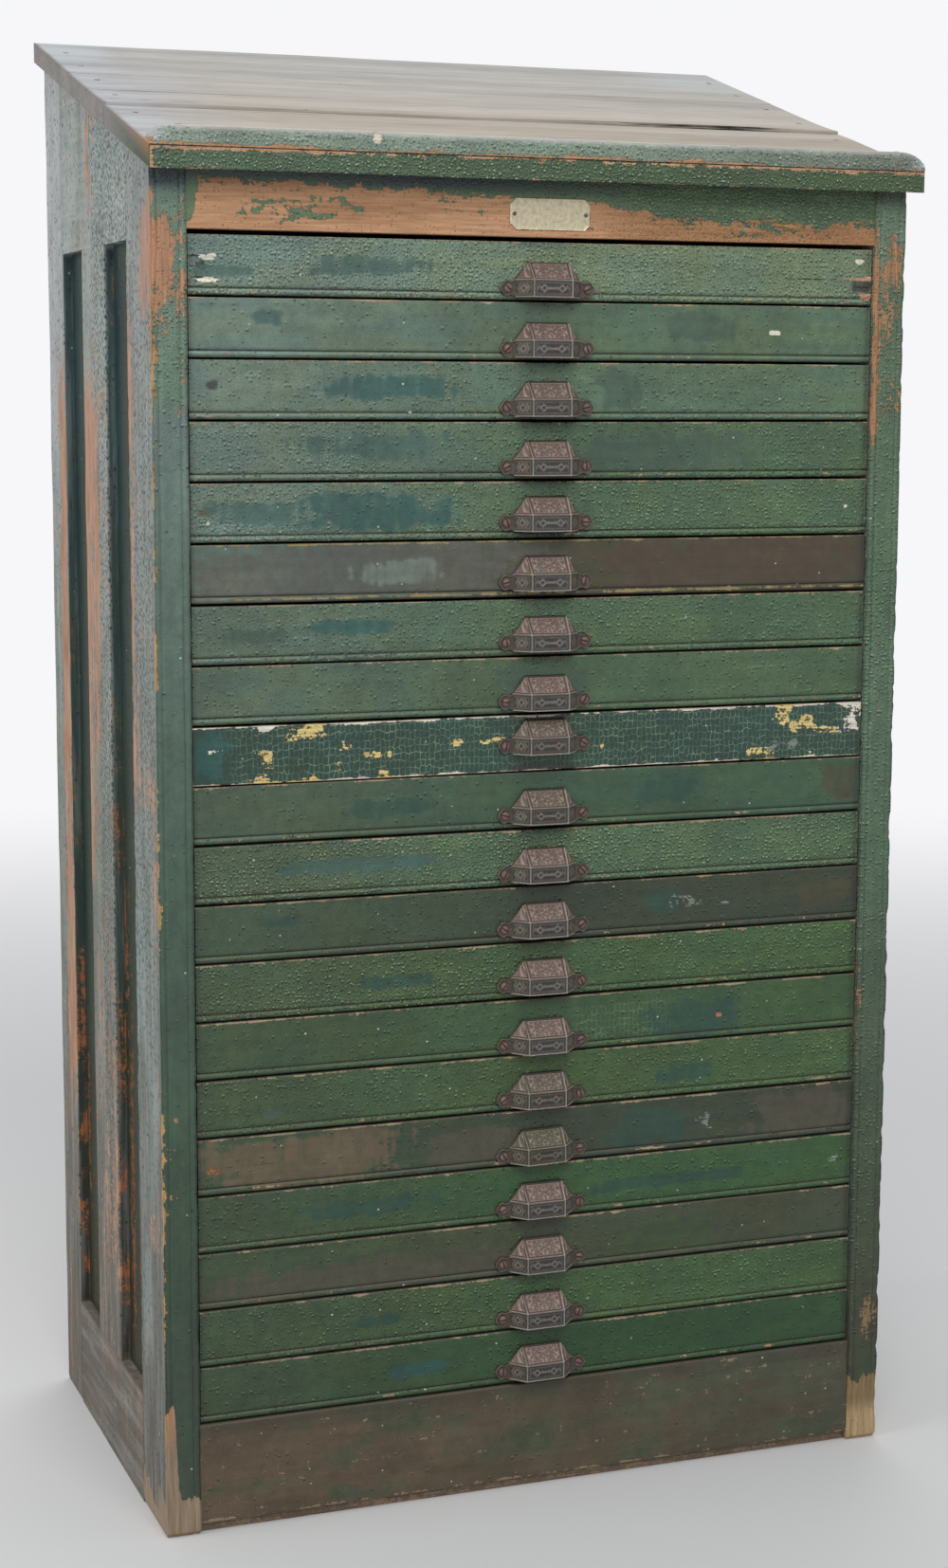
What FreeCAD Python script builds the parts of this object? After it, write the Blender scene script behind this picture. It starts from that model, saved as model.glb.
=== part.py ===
# Type case cabinet: twenty shallow cases for a printer's type slide on wooden runners
# in a framed carcass with a sloping top. Lengths are in millimetres, angles in degrees.
# The pieces are drawn with the left front corner of the posts at zero, X to the right,
# Y to the back and Z up, and each node's Placement then centres the whole on the floor.
import FreeCAD, Part
import os
import re

doc = FreeCAD.newDocument("type_case_cabinet")

# Driving sizes, one row each: name, value, what it measures
SIZES = (
    ("carcass_width", 745, "outside, over the two front posts"),
    ("carcass_depth", 446, "front face of the posts to the outside of the back"),
    ("post_width", 33, "face of a front post, and thickness of all side framing"),
    ("front_post_depth", 93, "front post, seen from the side"),
    ("rear_post_depth", 73, "rear post, seen from the side"),
    ("stile_width", 97, "middle stile of a side"),
    ("panel_recess", 10, "depth of a side panel behind the framing"),
    ("panel_thickness", 10, "side panel"),
    ("bottom_rail_height", 110, "bottom rail of a side"),
    ("top_rail_drop", 6, "underside of a side's top rail, below that of the frieze"),
    ("bead_width", 6, "bead along the two edges of a front post"),
    ("quirk_depth", 1.2, "groove beside a bead"),
    ("slope_angle", 16.03, "slope of the top"),
    ("roof_thickness", 19, "boards of the sloping top"),
    ("roof_front_rise", 68.5, "upper front edge of the sloping top over the frieze's underside"),
    ("roof_front_overhang", 25, "sloping top in front of the posts"),
    ("roof_rear_overhang", 26, "sloping top behind the carcass"),
    ("roof_side_overhang", 5, "sloping top past each side"),
    ("roof_front_board", 178, "front board of the sloping top, measured level"),
    ("roof_middle_board", 152, "middle board of the sloping top, measured level"),
    ("roof_joint", 0.6, "open joint between two boards of the top"),
    ("ledge_depth", 18, "ledge strip along the front of the top"),
    ("ledge_height", 18, "ledge strip, at its front"),
    ("ledge_end_radius", 14, "rounding of the ledge's two ends"),
    ("cleat_width", 20, "cleat under the top, along each side"),
    ("cleat_height", 28, "cleat under the top"),
    ("cleat_end_gap", 2, "cleat's ends from the frieze and the back rail"),
    ("frieze_gap", 3.12, "underside of the frieze rail above the highest case's space"),
    ("frieze_thickness", 20, "frieze rail"),
    ("frieze_setback", 1, "frieze rail behind the faces of the posts"),
    ("plate_width", 79.5, "name plate"),
    ("plate_height", 29, "name plate"),
    ("plate_thickness", 1.2, "name plate"),
    ("plate_clip", 6, "clipped corner of the name plate"),
    ("plate_offset", 3.3, "centre of the name plate, right of the middle"),
    ("plate_lift", 6, "underside of the name plate above that of the frieze"),
    ("pin_inset", 4.5, "name plate pin from the plate's end"),
    ("pin_radius", 0.9, "name plate pin"),
    ("pin_head_radius", 1.8, "name plate pin"),
    ("pin_head_height", 1, "name plate pin"),
    ("pin_length", 9, "name plate pin under its head"),
    ("kick_thickness", 18, "kick board"),
    ("kick_setback", 2, "kick board behind the faces of the posts"),
    ("kick_clearance", 10, "kick board above the floor"),
    ("floor_strip_setback", 8, "strip under the kick board, behind the posts' faces"),
    ("floor_strip_depth", 24, "strip under the kick board"),
    ("bottom_thickness", 18, "bottom board"),
    ("back_thickness", 12, "back boards"),
    ("back_board_joint", 0.5, "open joint between two back boards"),
    ("back_clearance", 12, "back boards above the floor"),
    ("back_rail_thickness", 20, "rails that the back boards are nailed to"),
    ("back_rail_height", 44, "rails that the back boards are nailed to"),
    ("back_rail_drop", 28, "upper back rail under the sloping top"),
    ("stop_width", 20, "upright batten that a case stops against"),
    ("stop_thickness", 7, "upright batten that a case stops against"),
    ("first_level", 106.28, "level of the lowest case"),
    ("case_pitch", 54.68, "level to level"),
    ("front_height", 52.7, "front of a case"),
    ("front_thickness", 16, "front of a case"),
    ("front_setback", 4, "front of a case behind the faces of the posts"),
    ("front_side_gap", 1.5, "front of a case to a post"),
    ("front_lift", 1, "lower edge of a front above its level"),
    ("front_bead", 6, "bead along the lower edge of a front"),
    ("front_rounding", 1.8, "rounding of that bead"),
    ("runner_width", 12, "runner"),
    ("runner_height", 9, "runner"),
    ("slide_gap", 0.3, "case above its runners"),
    ("case_side_gap", 3.5, "tray of a case to the framing"),
    ("case_stop_gap", 1, "closed case to its stops"),
    ("tray_height", 38, "sides of the tray"),
    ("tray_wall", 8, "sides and back of the tray"),
    ("tray_bottom", 4, "bottom of the tray"),
    ("bar_thickness", 7, "bar between two bays of the tray"),
    ("strip_thickness", 1.8, "thin partition"),
    ("strip_height", 28, "thin partition"),
    ("pull_offset", 2, "centre of the pulls, right of the middle"),
    ("pull_width", 94.7, "pull over its two ears"),
    ("hood_width", 65.7, "hood of the pull against the front"),
    ("hood_top_width", 42.4, "upper edge of the hood"),
    ("hood_front_width", 39.2, "front band of the hood"),
    ("hood_depth", 19, "hood of the pull"),
    ("hood_band", 16, "height of the front band"),
    ("hood_height", 33, "height of the hood"),
    ("pull_wall", 2.5, "casting"),
    ("ear_thickness", 3, "ear of the pull"),
    ("ear_height", 16, "ear of the pull"),
    ("screw_radius", 1.75, "pull screw"),
    ("screw_length", 12, "pull screw under its head"),
    ("screw_head_radius", 3.8, "pull screw"),
    ("screw_head_height", 2, "pull screw"),
    ("screw_slot", 0.9, "slot in the head, width and depth"),
    ("nail_radius", 1.2, "nail"),
    ("nail_length", 32, "nail under its head"),
    ("nail_head_radius", 2.6, "nail"),
    ("nail_head_height", 0.7, "nail"),
    ("fastener_play", 0.05, "hole around a screw, pin or nail"),
    ("overrun", 5, "cutting tools past what they cut"),
)
CASE_COUNT = 20
BACK_BOARD_COUNT = 6
# Glue joint of a side's two top rail boards, as a share of the way between its posts
TOP_RAIL_JOINT_SHARE = 0.525

# Sizes that follow from those, so that the carcass fits round its cases
DERIVED = (
    ("panel_width", "(carcass_depth - front_post_depth - rear_post_depth - stile_width) / 2",
     "side panel between a post and the middle stile"),
    ("top_rail_joint", "front_post_depth + "
     f"{TOP_RAIL_JOINT_SHARE} * (carcass_depth - rear_post_depth - front_post_depth)",
     "glue joint of the two top rail boards, from the front"),
    ("frieze_bottom", f"first_level + {CASE_COUNT} * case_pitch + frieze_gap",
     "underside of the frieze rail"),
    ("top_rail_bottom", "frieze_bottom - top_rail_drop", "underside of a side's top rail"),
    ("plate_level", "frieze_bottom + plate_lift", "underside of the name plate"),
    ("roof_front_height", "frieze_bottom + roof_front_rise",
     "upper front edge of the sloping top"),
    ("roof_underside", "roof_front_height - roof_thickness / cos(slope_angle)",
     "lower front edge of the sloping top"),
    ("back_rail_start", "carcass_depth - back_thickness - back_rail_thickness",
     "front face of the back rails"),
    ("back_rail_top", "roof_underside - back_rail_drop"
     " + (back_rail_start + roof_front_overhang) * tan(slope_angle)", "upper back rail"),
    ("stop_face", "carcass_depth - back_thickness - stop_thickness",
     "front face of the battens that the cases stop against"),
    ("case_end", "stop_face - case_stop_gap", "back of a closed case"),
)

# Lower edge of each pull above the lower edge of its front, from the top case down
PULL_HEIGHT_SHARES = (0.04, 0.04, 0.06, 0.065, 0.125, 0.115, 0.08, 0.06, 0.315, 0.09,
                      0.065, 0.1, 0.095, 0.03, 0.06, 0.055, 0.075, 0.07, 0.06, 0.1)
# The ninth case has a later front, cut without a bead
PLAIN_FRONT = 9
# Bars and thin partitions, as shares of the tray's inside width and depth
BAR_SHARES = (0.36, 0.72)
ROW_SHARES = (0.25, 0.5, 0.75)
BAY_COLUMN_SHARES = ((0.25, 0.5, 0.75), (0.25, 0.5, 0.75), (0.34, 0.67))
# Nails: along the slope of each roof board, along the ledge, and across each back board
ROOF_NAIL_SHARES = (0.3, 0.8)
LEDGE_NAIL_SHARES = (0.03, 0.27, 0.5, 0.74, 0.97)
BACK_NAIL_SHARES = (0.2, 0.8)
# Flat crown of a screw head, as a share of its rim
SCREW_CROWN_SHARE = 0.7

sheet = doc.addObject("Spreadsheet::Sheet", "sizes")
for row, (alias, number, meaning) in enumerate(SIZES, 1):
    sheet.set(f"A{row}", meaning)
    sheet.set(f"B{row}", str(number))
    sheet.setAlias(f"B{row}", alias)
for row, (alias, formula, meaning) in enumerate(DERIVED, len(SIZES) + 1):
    sheet.set(f"A{row}", meaning)
    sheet.set(f"B{row}", f"={formula}")
    sheet.setAlias(f"B{row}", alias)
    doc.recompute()
size = {alias: float(sheet.get(alias)) for alias, value, meaning in SIZES + DERIVED}

# Places that several pieces share, as formulas of the named sizes
INNER_LEFT = "post_width"
INNER_RIGHT = "(carcass_width - post_width)"
PANEL_1_START = "front_post_depth"
PANEL_1_END = "(front_post_depth + panel_width)"
PANEL_2_START = "(carcass_depth - rear_post_depth - panel_width)"
PANEL_2_END = "(carcass_depth - rear_post_depth)"
UNCUT_TOP = "(roof_front_height + carcass_depth)"
BACK_FACE = "(carcass_depth - back_thickness)"
FRONT_BACK = "(front_setback + front_thickness)"
TRAY_LEFT = "(post_width + case_side_gap)"
TRAY_RIGHT = "(carcass_width - post_width - case_side_gap)"
TRAY_FLOOR = "(runner_height + slide_gap)"
TRAY_INSIDE = "(runner_height + slide_gap + tray_bottom)"
TRAY_TOP = "(runner_height + slide_gap + tray_height)"
PULL_CENTRE = "(carcass_width / 2 + pull_offset)"
PLATE_LEFT = "(carcass_width / 2 + plate_offset - plate_width / 2)"
PLATE_RIGHT = "(carcass_width / 2 + plate_offset + plate_width / 2)"


def bind(thing, prop, formula):
    """Ties one property to a formula of the named sizes."""
    text = re.sub(r"[a-z]\w*", lambda m: f"sizes.{m[0]}" if m[0] in size else m[0], formula)
    thing.setExpression(prop, text)


def seat(thing, x, y, z):
    """Ties the place of a piece to three formulas."""
    for axis, formula in zip("xyz", (x, y, z)):
        bind(thing, f"Placement.Base.{axis}", formula)


def board(name, x, y, z):
    """A squared board; x, y and z each give the formulas of its two ends."""
    box = doc.addObject("Part::Box", name)
    for side, (low, high) in zip(("Length", "Width", "Height"), (x, y, z)):
        bind(box, side, f"({high}) - ({low})")
    seat(box, x[0], y[0], z[0])
    return box


def group(name, pieces):
    """Several solids kept side by side."""
    compound = doc.addObject("Part::Compound", name)
    compound.Links = pieces
    return compound


def cut(name, base, *tools):
    """The base less its tools."""
    result = doc.addObject("Part::Cut", name)
    result.Base = base
    result.Tool = tools[0] if len(tools) == 1 else group(f"{name}_tools", list(tools))
    return result


nodes = []


def node(label, pieces, x="0", y="0", z="0"):
    """A named sub-part, centred over the floor with all the others."""
    part = group(label, pieces)
    nodes.append(part)
    part.Label = label
    middle = "(carcass_depth + roof_rear_overhang - roof_front_overhang) / 2"
    seat(part, f"{x} - carcass_width / 2", f"{y} - {middle}", z)
    return part


def ease(name, kind, base, radius, wanted):
    """Fillet or chamfer on the edges of a box that the test picks out."""
    doc.recompute()
    box = base.Shape.BoundBox
    edges = enumerate(base.Shape.Edges, 1)
    result = doc.addObject(kind, name)
    result.Base = base
    result.Edges = [(i, size[radius], size[radius]) for i, edge in edges
                    if wanted(edge.BoundBox, box)]
    return result


def round_bar(name, radius, length, x, y, z):
    """A round bar that runs to the back from the given point."""
    bar = doc.addObject("Part::Cylinder", name)
    bind(bar, "Radius", radius)
    bind(bar, "Height", length)
    bar.Placement.Rotation = FreeCAD.Rotation(FreeCAD.Vector(1, 0, 0), -90)
    seat(bar, x, y, z)
    return bar


def mirrored(low, high):
    """The two ends of a span, carried over to the right-hand side."""
    return (f"carcass_width - ({high})", f"carcass_width - ({low})")


# The space above the underside of the sloping top, which trims all that stands below it
above = board("space_above", ("-roof_side_overhang - overrun", "carcass_width + overrun"),
              ("-roof_front_overhang", "2 * carcass_depth"), ("roof_underside", UNCUT_TOP))
above.Placement.Rotation = FreeCAD.Rotation(FreeCAD.Vector(1, 0, 0), size["slope_angle"])
bind(above, "Placement.Rotation.Angle", "slope_angle")


def quirk(name, x):
    """A square bar set on its corner, which cuts a groove down the face of a post."""
    bar = board(name, (x, f"{x} + quirk_depth * sqrt(2)"),
                ("-quirk_depth", "quirk_depth * sqrt(2) - quirk_depth"),
                ("-overrun", UNCUT_TOP))
    bar.Placement.Rotation = FreeCAD.Rotation(FreeCAD.Vector(0, 0, 1), 45)
    return bar


# Nails through the sloping top go down into the side framing, so they come first
nail_solids = []
nail_holes = []


def nail(point, direction):
    """A nail whose head lies on the point, driven along the direction."""
    shank = Part.makeCylinder(size["nail_radius"], size["nail_length"], point, direction)
    head = Part.makeCylinder(size["nail_head_radius"], size["nail_head_height"],
                             point, direction * -1)
    hole_radius = size["nail_radius"] + size["fastener_play"]
    hole = Part.makeCylinder(hole_radius, size["nail_length"], point, direction)
    nail_solids.append(shank.fuse(head))
    nail_holes.append(hole)


slope = FreeCAD.Rotation(FreeCAD.Vector(1, 0, 0), size["slope_angle"])
uphill = slope.multVec(FreeCAD.Vector(0, 1, 0))
into_roof = slope.multVec(FreeCAD.Vector(0, 0, -1))
roof_end = size["carcass_depth"] + size["roof_rear_overhang"]
roof_starts = (-size["roof_front_overhang"],
               size["roof_front_board"] - size["roof_front_overhang"],
               size["roof_front_board"] + size["roof_middle_board"] - size["roof_front_overhang"],
               roof_end)
for start, end in zip(roof_starts, roof_starts[1:]):
    for share in ROOF_NAIL_SHARES:
        run = start + share * (min(end, size["carcass_depth"]) - start)
        rise = (run + size["roof_front_overhang"]) * uphill.z / uphill.y
        for x in (size["post_width"] / 2, size["carcass_width"] - size["post_width"] / 2):
            top = FreeCAD.Vector(x, run, size["roof_front_height"] + rise)
            nail(top, into_roof)
ledge_top = size["roof_front_height"] + size["ledge_height"]
for share in LEDGE_NAIL_SHARES:
    middle = size["ledge_depth"] / 2 - size["roof_front_overhang"]
    nail(FreeCAD.Vector(share * size["carcass_width"], middle, ledge_top), FreeCAD.Vector(0, 0, -1))
lower_row = size["first_level"] - size["bottom_thickness"] - size["back_rail_height"] / 2
upper_row = size["back_rail_top"] - size["back_rail_height"] / 2
back_width = size["carcass_width"] - 2 * size["post_width"]
for index in range(BACK_BOARD_COUNT):
    for share in BACK_NAIL_SHARES:
        x = size["post_width"] + (index + share) * back_width / BACK_BOARD_COUNT
        for z in (lower_row, upper_row):
            nail(FreeCAD.Vector(x, size["carcass_depth"], z), FreeCAD.Vector(0, -1, 0))
nails = doc.addObject("Part::Feature", "nails")
nails.Shape = Part.makeCompound(nail_solids)
holes = doc.addObject("Part::Feature", "nail_holes")
holes.Shape = Part.makeCompound(nail_holes)
node("cut_nails", [nails])

# Front posts: one stick each from the floor to the top, with a bead down both edges
for side in ("left", "right"):
    span = ("0", INNER_LEFT) if side == "left" else (INNER_RIGHT, "carcass_width")
    stick = board(f"{side}_post_stick", span, ("0", "front_post_depth"), ("0", UNCUT_TOP))
    grooves = (quirk(f"{side}_quirk_1", f"{span[0]} + bead_width"),
               quirk(f"{side}_quirk_2", f"{span[1]} - bead_width"))
    node(f"{side}_front_post", [cut(f"{side}_post", stick, above, holes, *grooves)])

# Rear posts: plain sticks that close the sides at the back
rear_sticks = [board(f"rear_stick_{i}", span, (PANEL_2_END, "carcass_depth"), ("0", UNCUT_TOP))
               for i, span in enumerate((("0", INNER_LEFT), (INNER_RIGHT, "carcass_width")), 1)]
node("rear_posts", [cut("rear_post_pair", group("rear_sticks", rear_sticks), above, holes)])

# Side framing: bottom rail, middle stile and two top rail boards, between the posts
for side in ("left", "right"):
    face = ("0", INNER_LEFT) if side == "left" else (INNER_RIGHT, "carcass_width")
    rails = [
        board(f"{side}_bottom_rail", face, (PANEL_1_START, PANEL_2_END),
              ("0", "bottom_rail_height")),
        board(f"{side}_stile", face, (PANEL_1_END, PANEL_2_START),
              ("bottom_rail_height", "top_rail_bottom")),
        board(f"{side}_top_rail_1", face, (PANEL_1_START, "top_rail_joint"),
              ("top_rail_bottom", UNCUT_TOP)),
        board(f"{side}_top_rail_2", face, ("top_rail_joint", PANEL_2_END),
              ("top_rail_bottom", UNCUT_TOP)),
    ]
    framing = group(f"{side}_rails", rails)
    node(f"{side}_side_framing", [cut(f"{side}_frame", framing, above, holes)])

# Side panels: four thin boards set back between stiles and rails
panel_depth = ("panel_recess", "panel_recess + panel_thickness")
panels = [board(f"panel_{i}", span, width, ("bottom_rail_height", "top_rail_bottom"))
          for i, (span, width) in enumerate(
              (span, width) for span in (panel_depth, mirrored(*panel_depth))
              for width in ((PANEL_1_START, PANEL_1_END), (PANEL_2_START, PANEL_2_END)))]
node("side_panels", panels)

# Runners: one strip on each side for every case
for side in ("left", "right"):
    near = (INNER_LEFT, f"{INNER_LEFT} + runner_width")
    span = near if side == "left" else mirrored(*near)
    strips = []
    for index in range(CASE_COUNT):
        level = f"first_level + {index} * case_pitch"
        strips.append(board(f"{side}_runner_{index + 1}", span,
                            (f"{FRONT_BACK} + front_side_gap", "stop_face"),
                            (level, f"{level} + runner_height")))
    node(f"{side}_runners", strips)

# Frieze rail over the cases, its upper edge cut to the slope
frieze_back = "(frieze_setback + frieze_thickness)"
plate_middle = "(plate_level + plate_height / 2)"
pin_places = (f"{PLATE_LEFT} + pin_inset", f"{PLATE_RIGHT} - pin_inset")
pin_holes = [round_bar(f"pin_hole_{i}", "pin_radius + fastener_play",
                       "pin_length + fastener_play", x, "frieze_setback - plate_thickness",
                       plate_middle) for i, x in enumerate(pin_places, 1)]
frieze = board("frieze_board", (INNER_LEFT, INNER_RIGHT), ("frieze_setback", frieze_back),
               ("frieze_bottom", UNCUT_TOP))
node("frieze_rail", [cut("frieze", frieze, above, *pin_holes)])

# Name plate: thin bare brass with clipped corners, and a round-headed pin at each end
plate = board("plate_blank", (PLATE_LEFT, PLATE_RIGHT),
              ("frieze_setback - plate_thickness", "frieze_setback"),
              ("plate_level", "plate_level + plate_height"))
clipped = ease("plate_clipped", "Part::Chamfer", plate, "plate_clip",
               lambda edge, box: edge.YLength > box.YLength / 2)
node("nameplate", [cut("plate", clipped, *pin_holes)])
pins = []
for i, x in enumerate(pin_places, 1):
    shank = round_bar(f"pin_shank_{i}", "pin_radius", "pin_length", x,
                      "frieze_setback - plate_thickness", plate_middle)
    head = round_bar(f"pin_head_{i}", "pin_head_radius", "pin_head_height", x,
                     "frieze_setback - plate_thickness - pin_head_height", plate_middle)
    pin = doc.addObject("Part::Fuse", f"pin_{i}")
    pin.Base = shank
    pin.Tool = head
    pins.append(pin)
node("nameplate_pins", pins)

# Kick board under the lowest case, the strip it stands on, and the bottom board behind it
kick_back = "(kick_setback + kick_thickness)"
node("kick_board", [board("kick", (INNER_LEFT, INNER_RIGHT), ("kick_setback", kick_back),
                          ("kick_clearance", "first_level - front_lift"))])
node("floor_strip", [board("strip_on_floor", (INNER_LEFT, INNER_RIGHT),
                           ("floor_strip_setback", "floor_strip_setback + floor_strip_depth"),
                           ("0", "kick_clearance"))])
node("bottom_board", [board("bottom", (INNER_LEFT, INNER_RIGHT), (kick_back, BACK_FACE),
                            ("first_level - bottom_thickness - front_lift",
                             "first_level - front_lift"))])

# Back: upright boards nailed to two rails, trimmed to the slope
back_boards = []
back_share = f"(carcass_width - 2 * post_width) / {BACK_BOARD_COUNT}"
for index in range(BACK_BOARD_COUNT):
    joint = "0" if index == 0 else "back_board_joint"
    back_boards.append(board(
        f"back_board_{index + 1}",
        (f"post_width + {index} * {back_share} + {joint}", f"post_width + {index + 1} * {back_share}"),
        (BACK_FACE, "carcass_depth"), ("back_clearance", UNCUT_TOP)))
node("back_boards", [cut("back", group("back_board_row", back_boards), above, holes)])

# Back framing: the two rails and the two upright battens that the cases stop against
rail_span = ("back_rail_start", BACK_FACE)
low_rail_top = "(first_level - bottom_thickness - front_lift)"
back_framing = [
    board("upper_back_rail", (INNER_LEFT, INNER_RIGHT), rail_span,
          ("back_rail_top - back_rail_height", "back_rail_top")),
    board("lower_back_rail", (INNER_LEFT, INNER_RIGHT), rail_span,
          (f"{low_rail_top} - back_rail_height", low_rail_top)),
]
stop_span = (INNER_LEFT, f"{INNER_LEFT} + stop_width")
for i, span in enumerate((stop_span, mirrored(*stop_span)), 1):
    back_framing.append(board(f"stop_batten_{i}", span, ("stop_face", BACK_FACE),
                              ("first_level - front_lift", "frieze_bottom")))
node("back_framing", [cut("back_frame", group("back_frame_pieces", back_framing), holes)])

# Sloping top: three wide boards laid across, the front one forming the lip
slab = board("roof_slab", ("-roof_side_overhang", "carcass_width + roof_side_overhang"),
             ("-roof_front_overhang",
              "(carcass_depth + roof_rear_overhang) / cos(slope_angle) + roof_thickness"),
             ("roof_underside", "roof_underside + roof_thickness"))
slab.Placement.Rotation = FreeCAD.Rotation(FreeCAD.Vector(1, 0, 0), size["slope_angle"])
bind(slab, "Placement.Rotation.Angle", "slope_angle")
joint_1 = "(roof_front_board - roof_front_overhang)"
joint_2 = "(roof_front_board + roof_middle_board - roof_front_overhang)"
roof_spans = (("-roof_front_overhang", joint_1),
              (f"{joint_1} + roof_joint", joint_2),
              (f"{joint_2} + roof_joint", "carcass_depth + roof_rear_overhang"))
roof_boards = []
for i, span in enumerate(roof_spans, 1):
    trim = board(f"roof_trim_{i}", ("-roof_side_overhang - overrun", "carcass_width + 2 * overrun"),
                 span, ("frieze_bottom", f"{UNCUT_TOP} + overrun"))
    roof_board = doc.addObject("Part::Common", f"roof_board_{i}")
    roof_board.Base = slab
    roof_board.Tool = trim
    roof_boards.append(roof_board)
node("top_boards", [cut("roof", group("roof_board_row", roof_boards), holes)])

# Ledge: a strip along the front of the top that keeps a case from sliding off
ledge = board("ledge_blank", ("-roof_side_overhang", "carcass_width + roof_side_overhang"),
              ("-roof_front_overhang", "ledge_depth - roof_front_overhang"),
              ("roof_front_height", "roof_front_height + ledge_height"))
ledge_rounded = ease("ledge_rounded", "Part::Fillet", ledge, "ledge_end_radius",
                     lambda edge, box: edge.YLength > box.YLength / 2 and edge.ZMin > box.Center.z)
node("top_ledge", [cut("ledge", ledge_rounded, slab, holes)])

# Cleats under the top, along the inside of the side framing
cleat_span = (INNER_LEFT, f"{INNER_LEFT} + cleat_width")
cleat_run = (f"{frieze_back} + cleat_end_gap", "back_rail_start - cleat_end_gap")
cleat_layer = board("cleat_layer", (INNER_LEFT, INNER_RIGHT), ("0", "2 * carcass_depth"),
                    ("0", "cleat_height"))
seat(cleat_layer, INNER_LEFT, "cleat_height * sin(slope_angle) - roof_front_overhang",
     "roof_underside - cleat_height * cos(slope_angle)")
cleat_layer.Placement.Rotation = slope
bind(cleat_layer, "Placement.Rotation.Angle", "slope_angle")
cleats = []
for i, span in enumerate((cleat_span, mirrored(*cleat_span)), 1):
    cleat = doc.addObject("Part::Common", f"cleat_{i}")
    cleat.Base = board(f"cleat_blank_{i}", span, cleat_run, ("frieze_bottom", UNCUT_TOP))
    cleat.Tool = cleat_layer
    cleats.append(cleat)
node("top_cleats", cleats)


# Tray of a case: sides, back, bottom, two bars and thin partitions halved into each other
def tray_x(share):
    return f"({TRAY_LEFT} + tray_wall + {share} * ({TRAY_RIGHT} - {TRAY_LEFT} - 2 * tray_wall))"


tray_rear = "(case_end - tray_wall)"
tray = [
    board("tray_left", (TRAY_LEFT, f"{TRAY_LEFT} + tray_wall"), (FRONT_BACK, "case_end"),
          (TRAY_FLOOR, TRAY_TOP)),
    board("tray_right", (f"{TRAY_RIGHT} - tray_wall", TRAY_RIGHT), (FRONT_BACK, "case_end"),
          (TRAY_FLOOR, TRAY_TOP)),
    board("tray_back", (tray_x(0), tray_x(1)), (tray_rear, "case_end"), (TRAY_FLOOR, TRAY_TOP)),
    board("tray_floor", (tray_x(0), tray_x(1)), (FRONT_BACK, tray_rear), (TRAY_FLOOR, TRAY_INSIDE)),
]
bay_edges = [tray_x(0)]
for i, share in enumerate(BAR_SHARES, 1):
    bar = (f"{tray_x(share)} - bar_thickness / 2", f"{tray_x(share)} + bar_thickness / 2")
    tray.append(board(f"tray_bar_{i}", bar, (FRONT_BACK, tray_rear), (TRAY_INSIDE, TRAY_TOP)))
    bay_edges += bar
bay_edges.append(tray_x(1))
half_way = f"({TRAY_INSIDE} + strip_height / 2)"
strip_top = f"({TRAY_INSIDE} + strip_height)"


def strip_at(low, high, share):
    """The two faces of a thin partition that stands at a share of a span."""
    middle = f"({low}) + {share} * (({high}) - ({low}))"
    return (f"{middle} - strip_thickness / 2", f"{middle} + strip_thickness / 2")


for bay, column_shares in enumerate(BAY_COLUMN_SHARES):
    left, right = bay_edges[2 * bay:2 * bay + 2]
    rows = [strip_at(FRONT_BACK, tray_rear, share) for share in ROW_SHARES]
    columns = [strip_at(left, right, share) for share in column_shares]
    row_boards = []
    row_halves = []
    column_boards = []
    column_halves = []
    for i, row in enumerate(rows, 1):
        name = f"bay_{bay + 1}_row_{i}"
        row_boards.append(board(name, (left, right), row, (TRAY_INSIDE, strip_top)))
        row_halves.append(board(f"{name}_half", (left, right), row, (TRAY_INSIDE, half_way)))
    for i, column in enumerate(columns, 1):
        name = f"bay_{bay + 1}_column_{i}"
        depth = (FRONT_BACK, tray_rear)
        column_boards.append(board(name, column, depth, (TRAY_INSIDE, strip_top)))
        column_halves.append(board(f"{name}_half", column, depth, (half_way, strip_top)))
    tray.append(cut(f"bay_{bay + 1}_rows", group(f"bay_{bay + 1}_row_set", row_boards),
                    *column_halves))
    tray.append(cut(f"bay_{bay + 1}_columns", group(f"bay_{bay + 1}_column_set", column_boards),
                    *row_halves))

# Front of a case: a board with a bead along its lower edge
front_span = ("post_width + front_side_gap", "carcass_width - post_width - front_side_gap")
front_blank = board("front_blank", front_span, ("front_setback", FRONT_BACK),
                    ("front_lift", "front_lift + front_height"))
front_rounded = ease("front_rounded", "Part::Fillet", front_blank, "front_rounding",
                     lambda edge, box: edge.YMax < box.Center.y and edge.ZMax < box.Center.z
                     and edge.XLength > box.XLength / 2)
front_quirk = board("front_quirk", ("0", "carcass_width"), ("0", "quirk_depth * sqrt(2)"),
                    ("0", "quirk_depth * sqrt(2)"))
front_quirk.Placement.Rotation = FreeCAD.Rotation(FreeCAD.Vector(1, 0, 0), 45)
seat(front_quirk, "0", "front_setback", "front_lift + front_bead")
beaded_front = cut("beaded_front", front_rounded, front_quirk)


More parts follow.
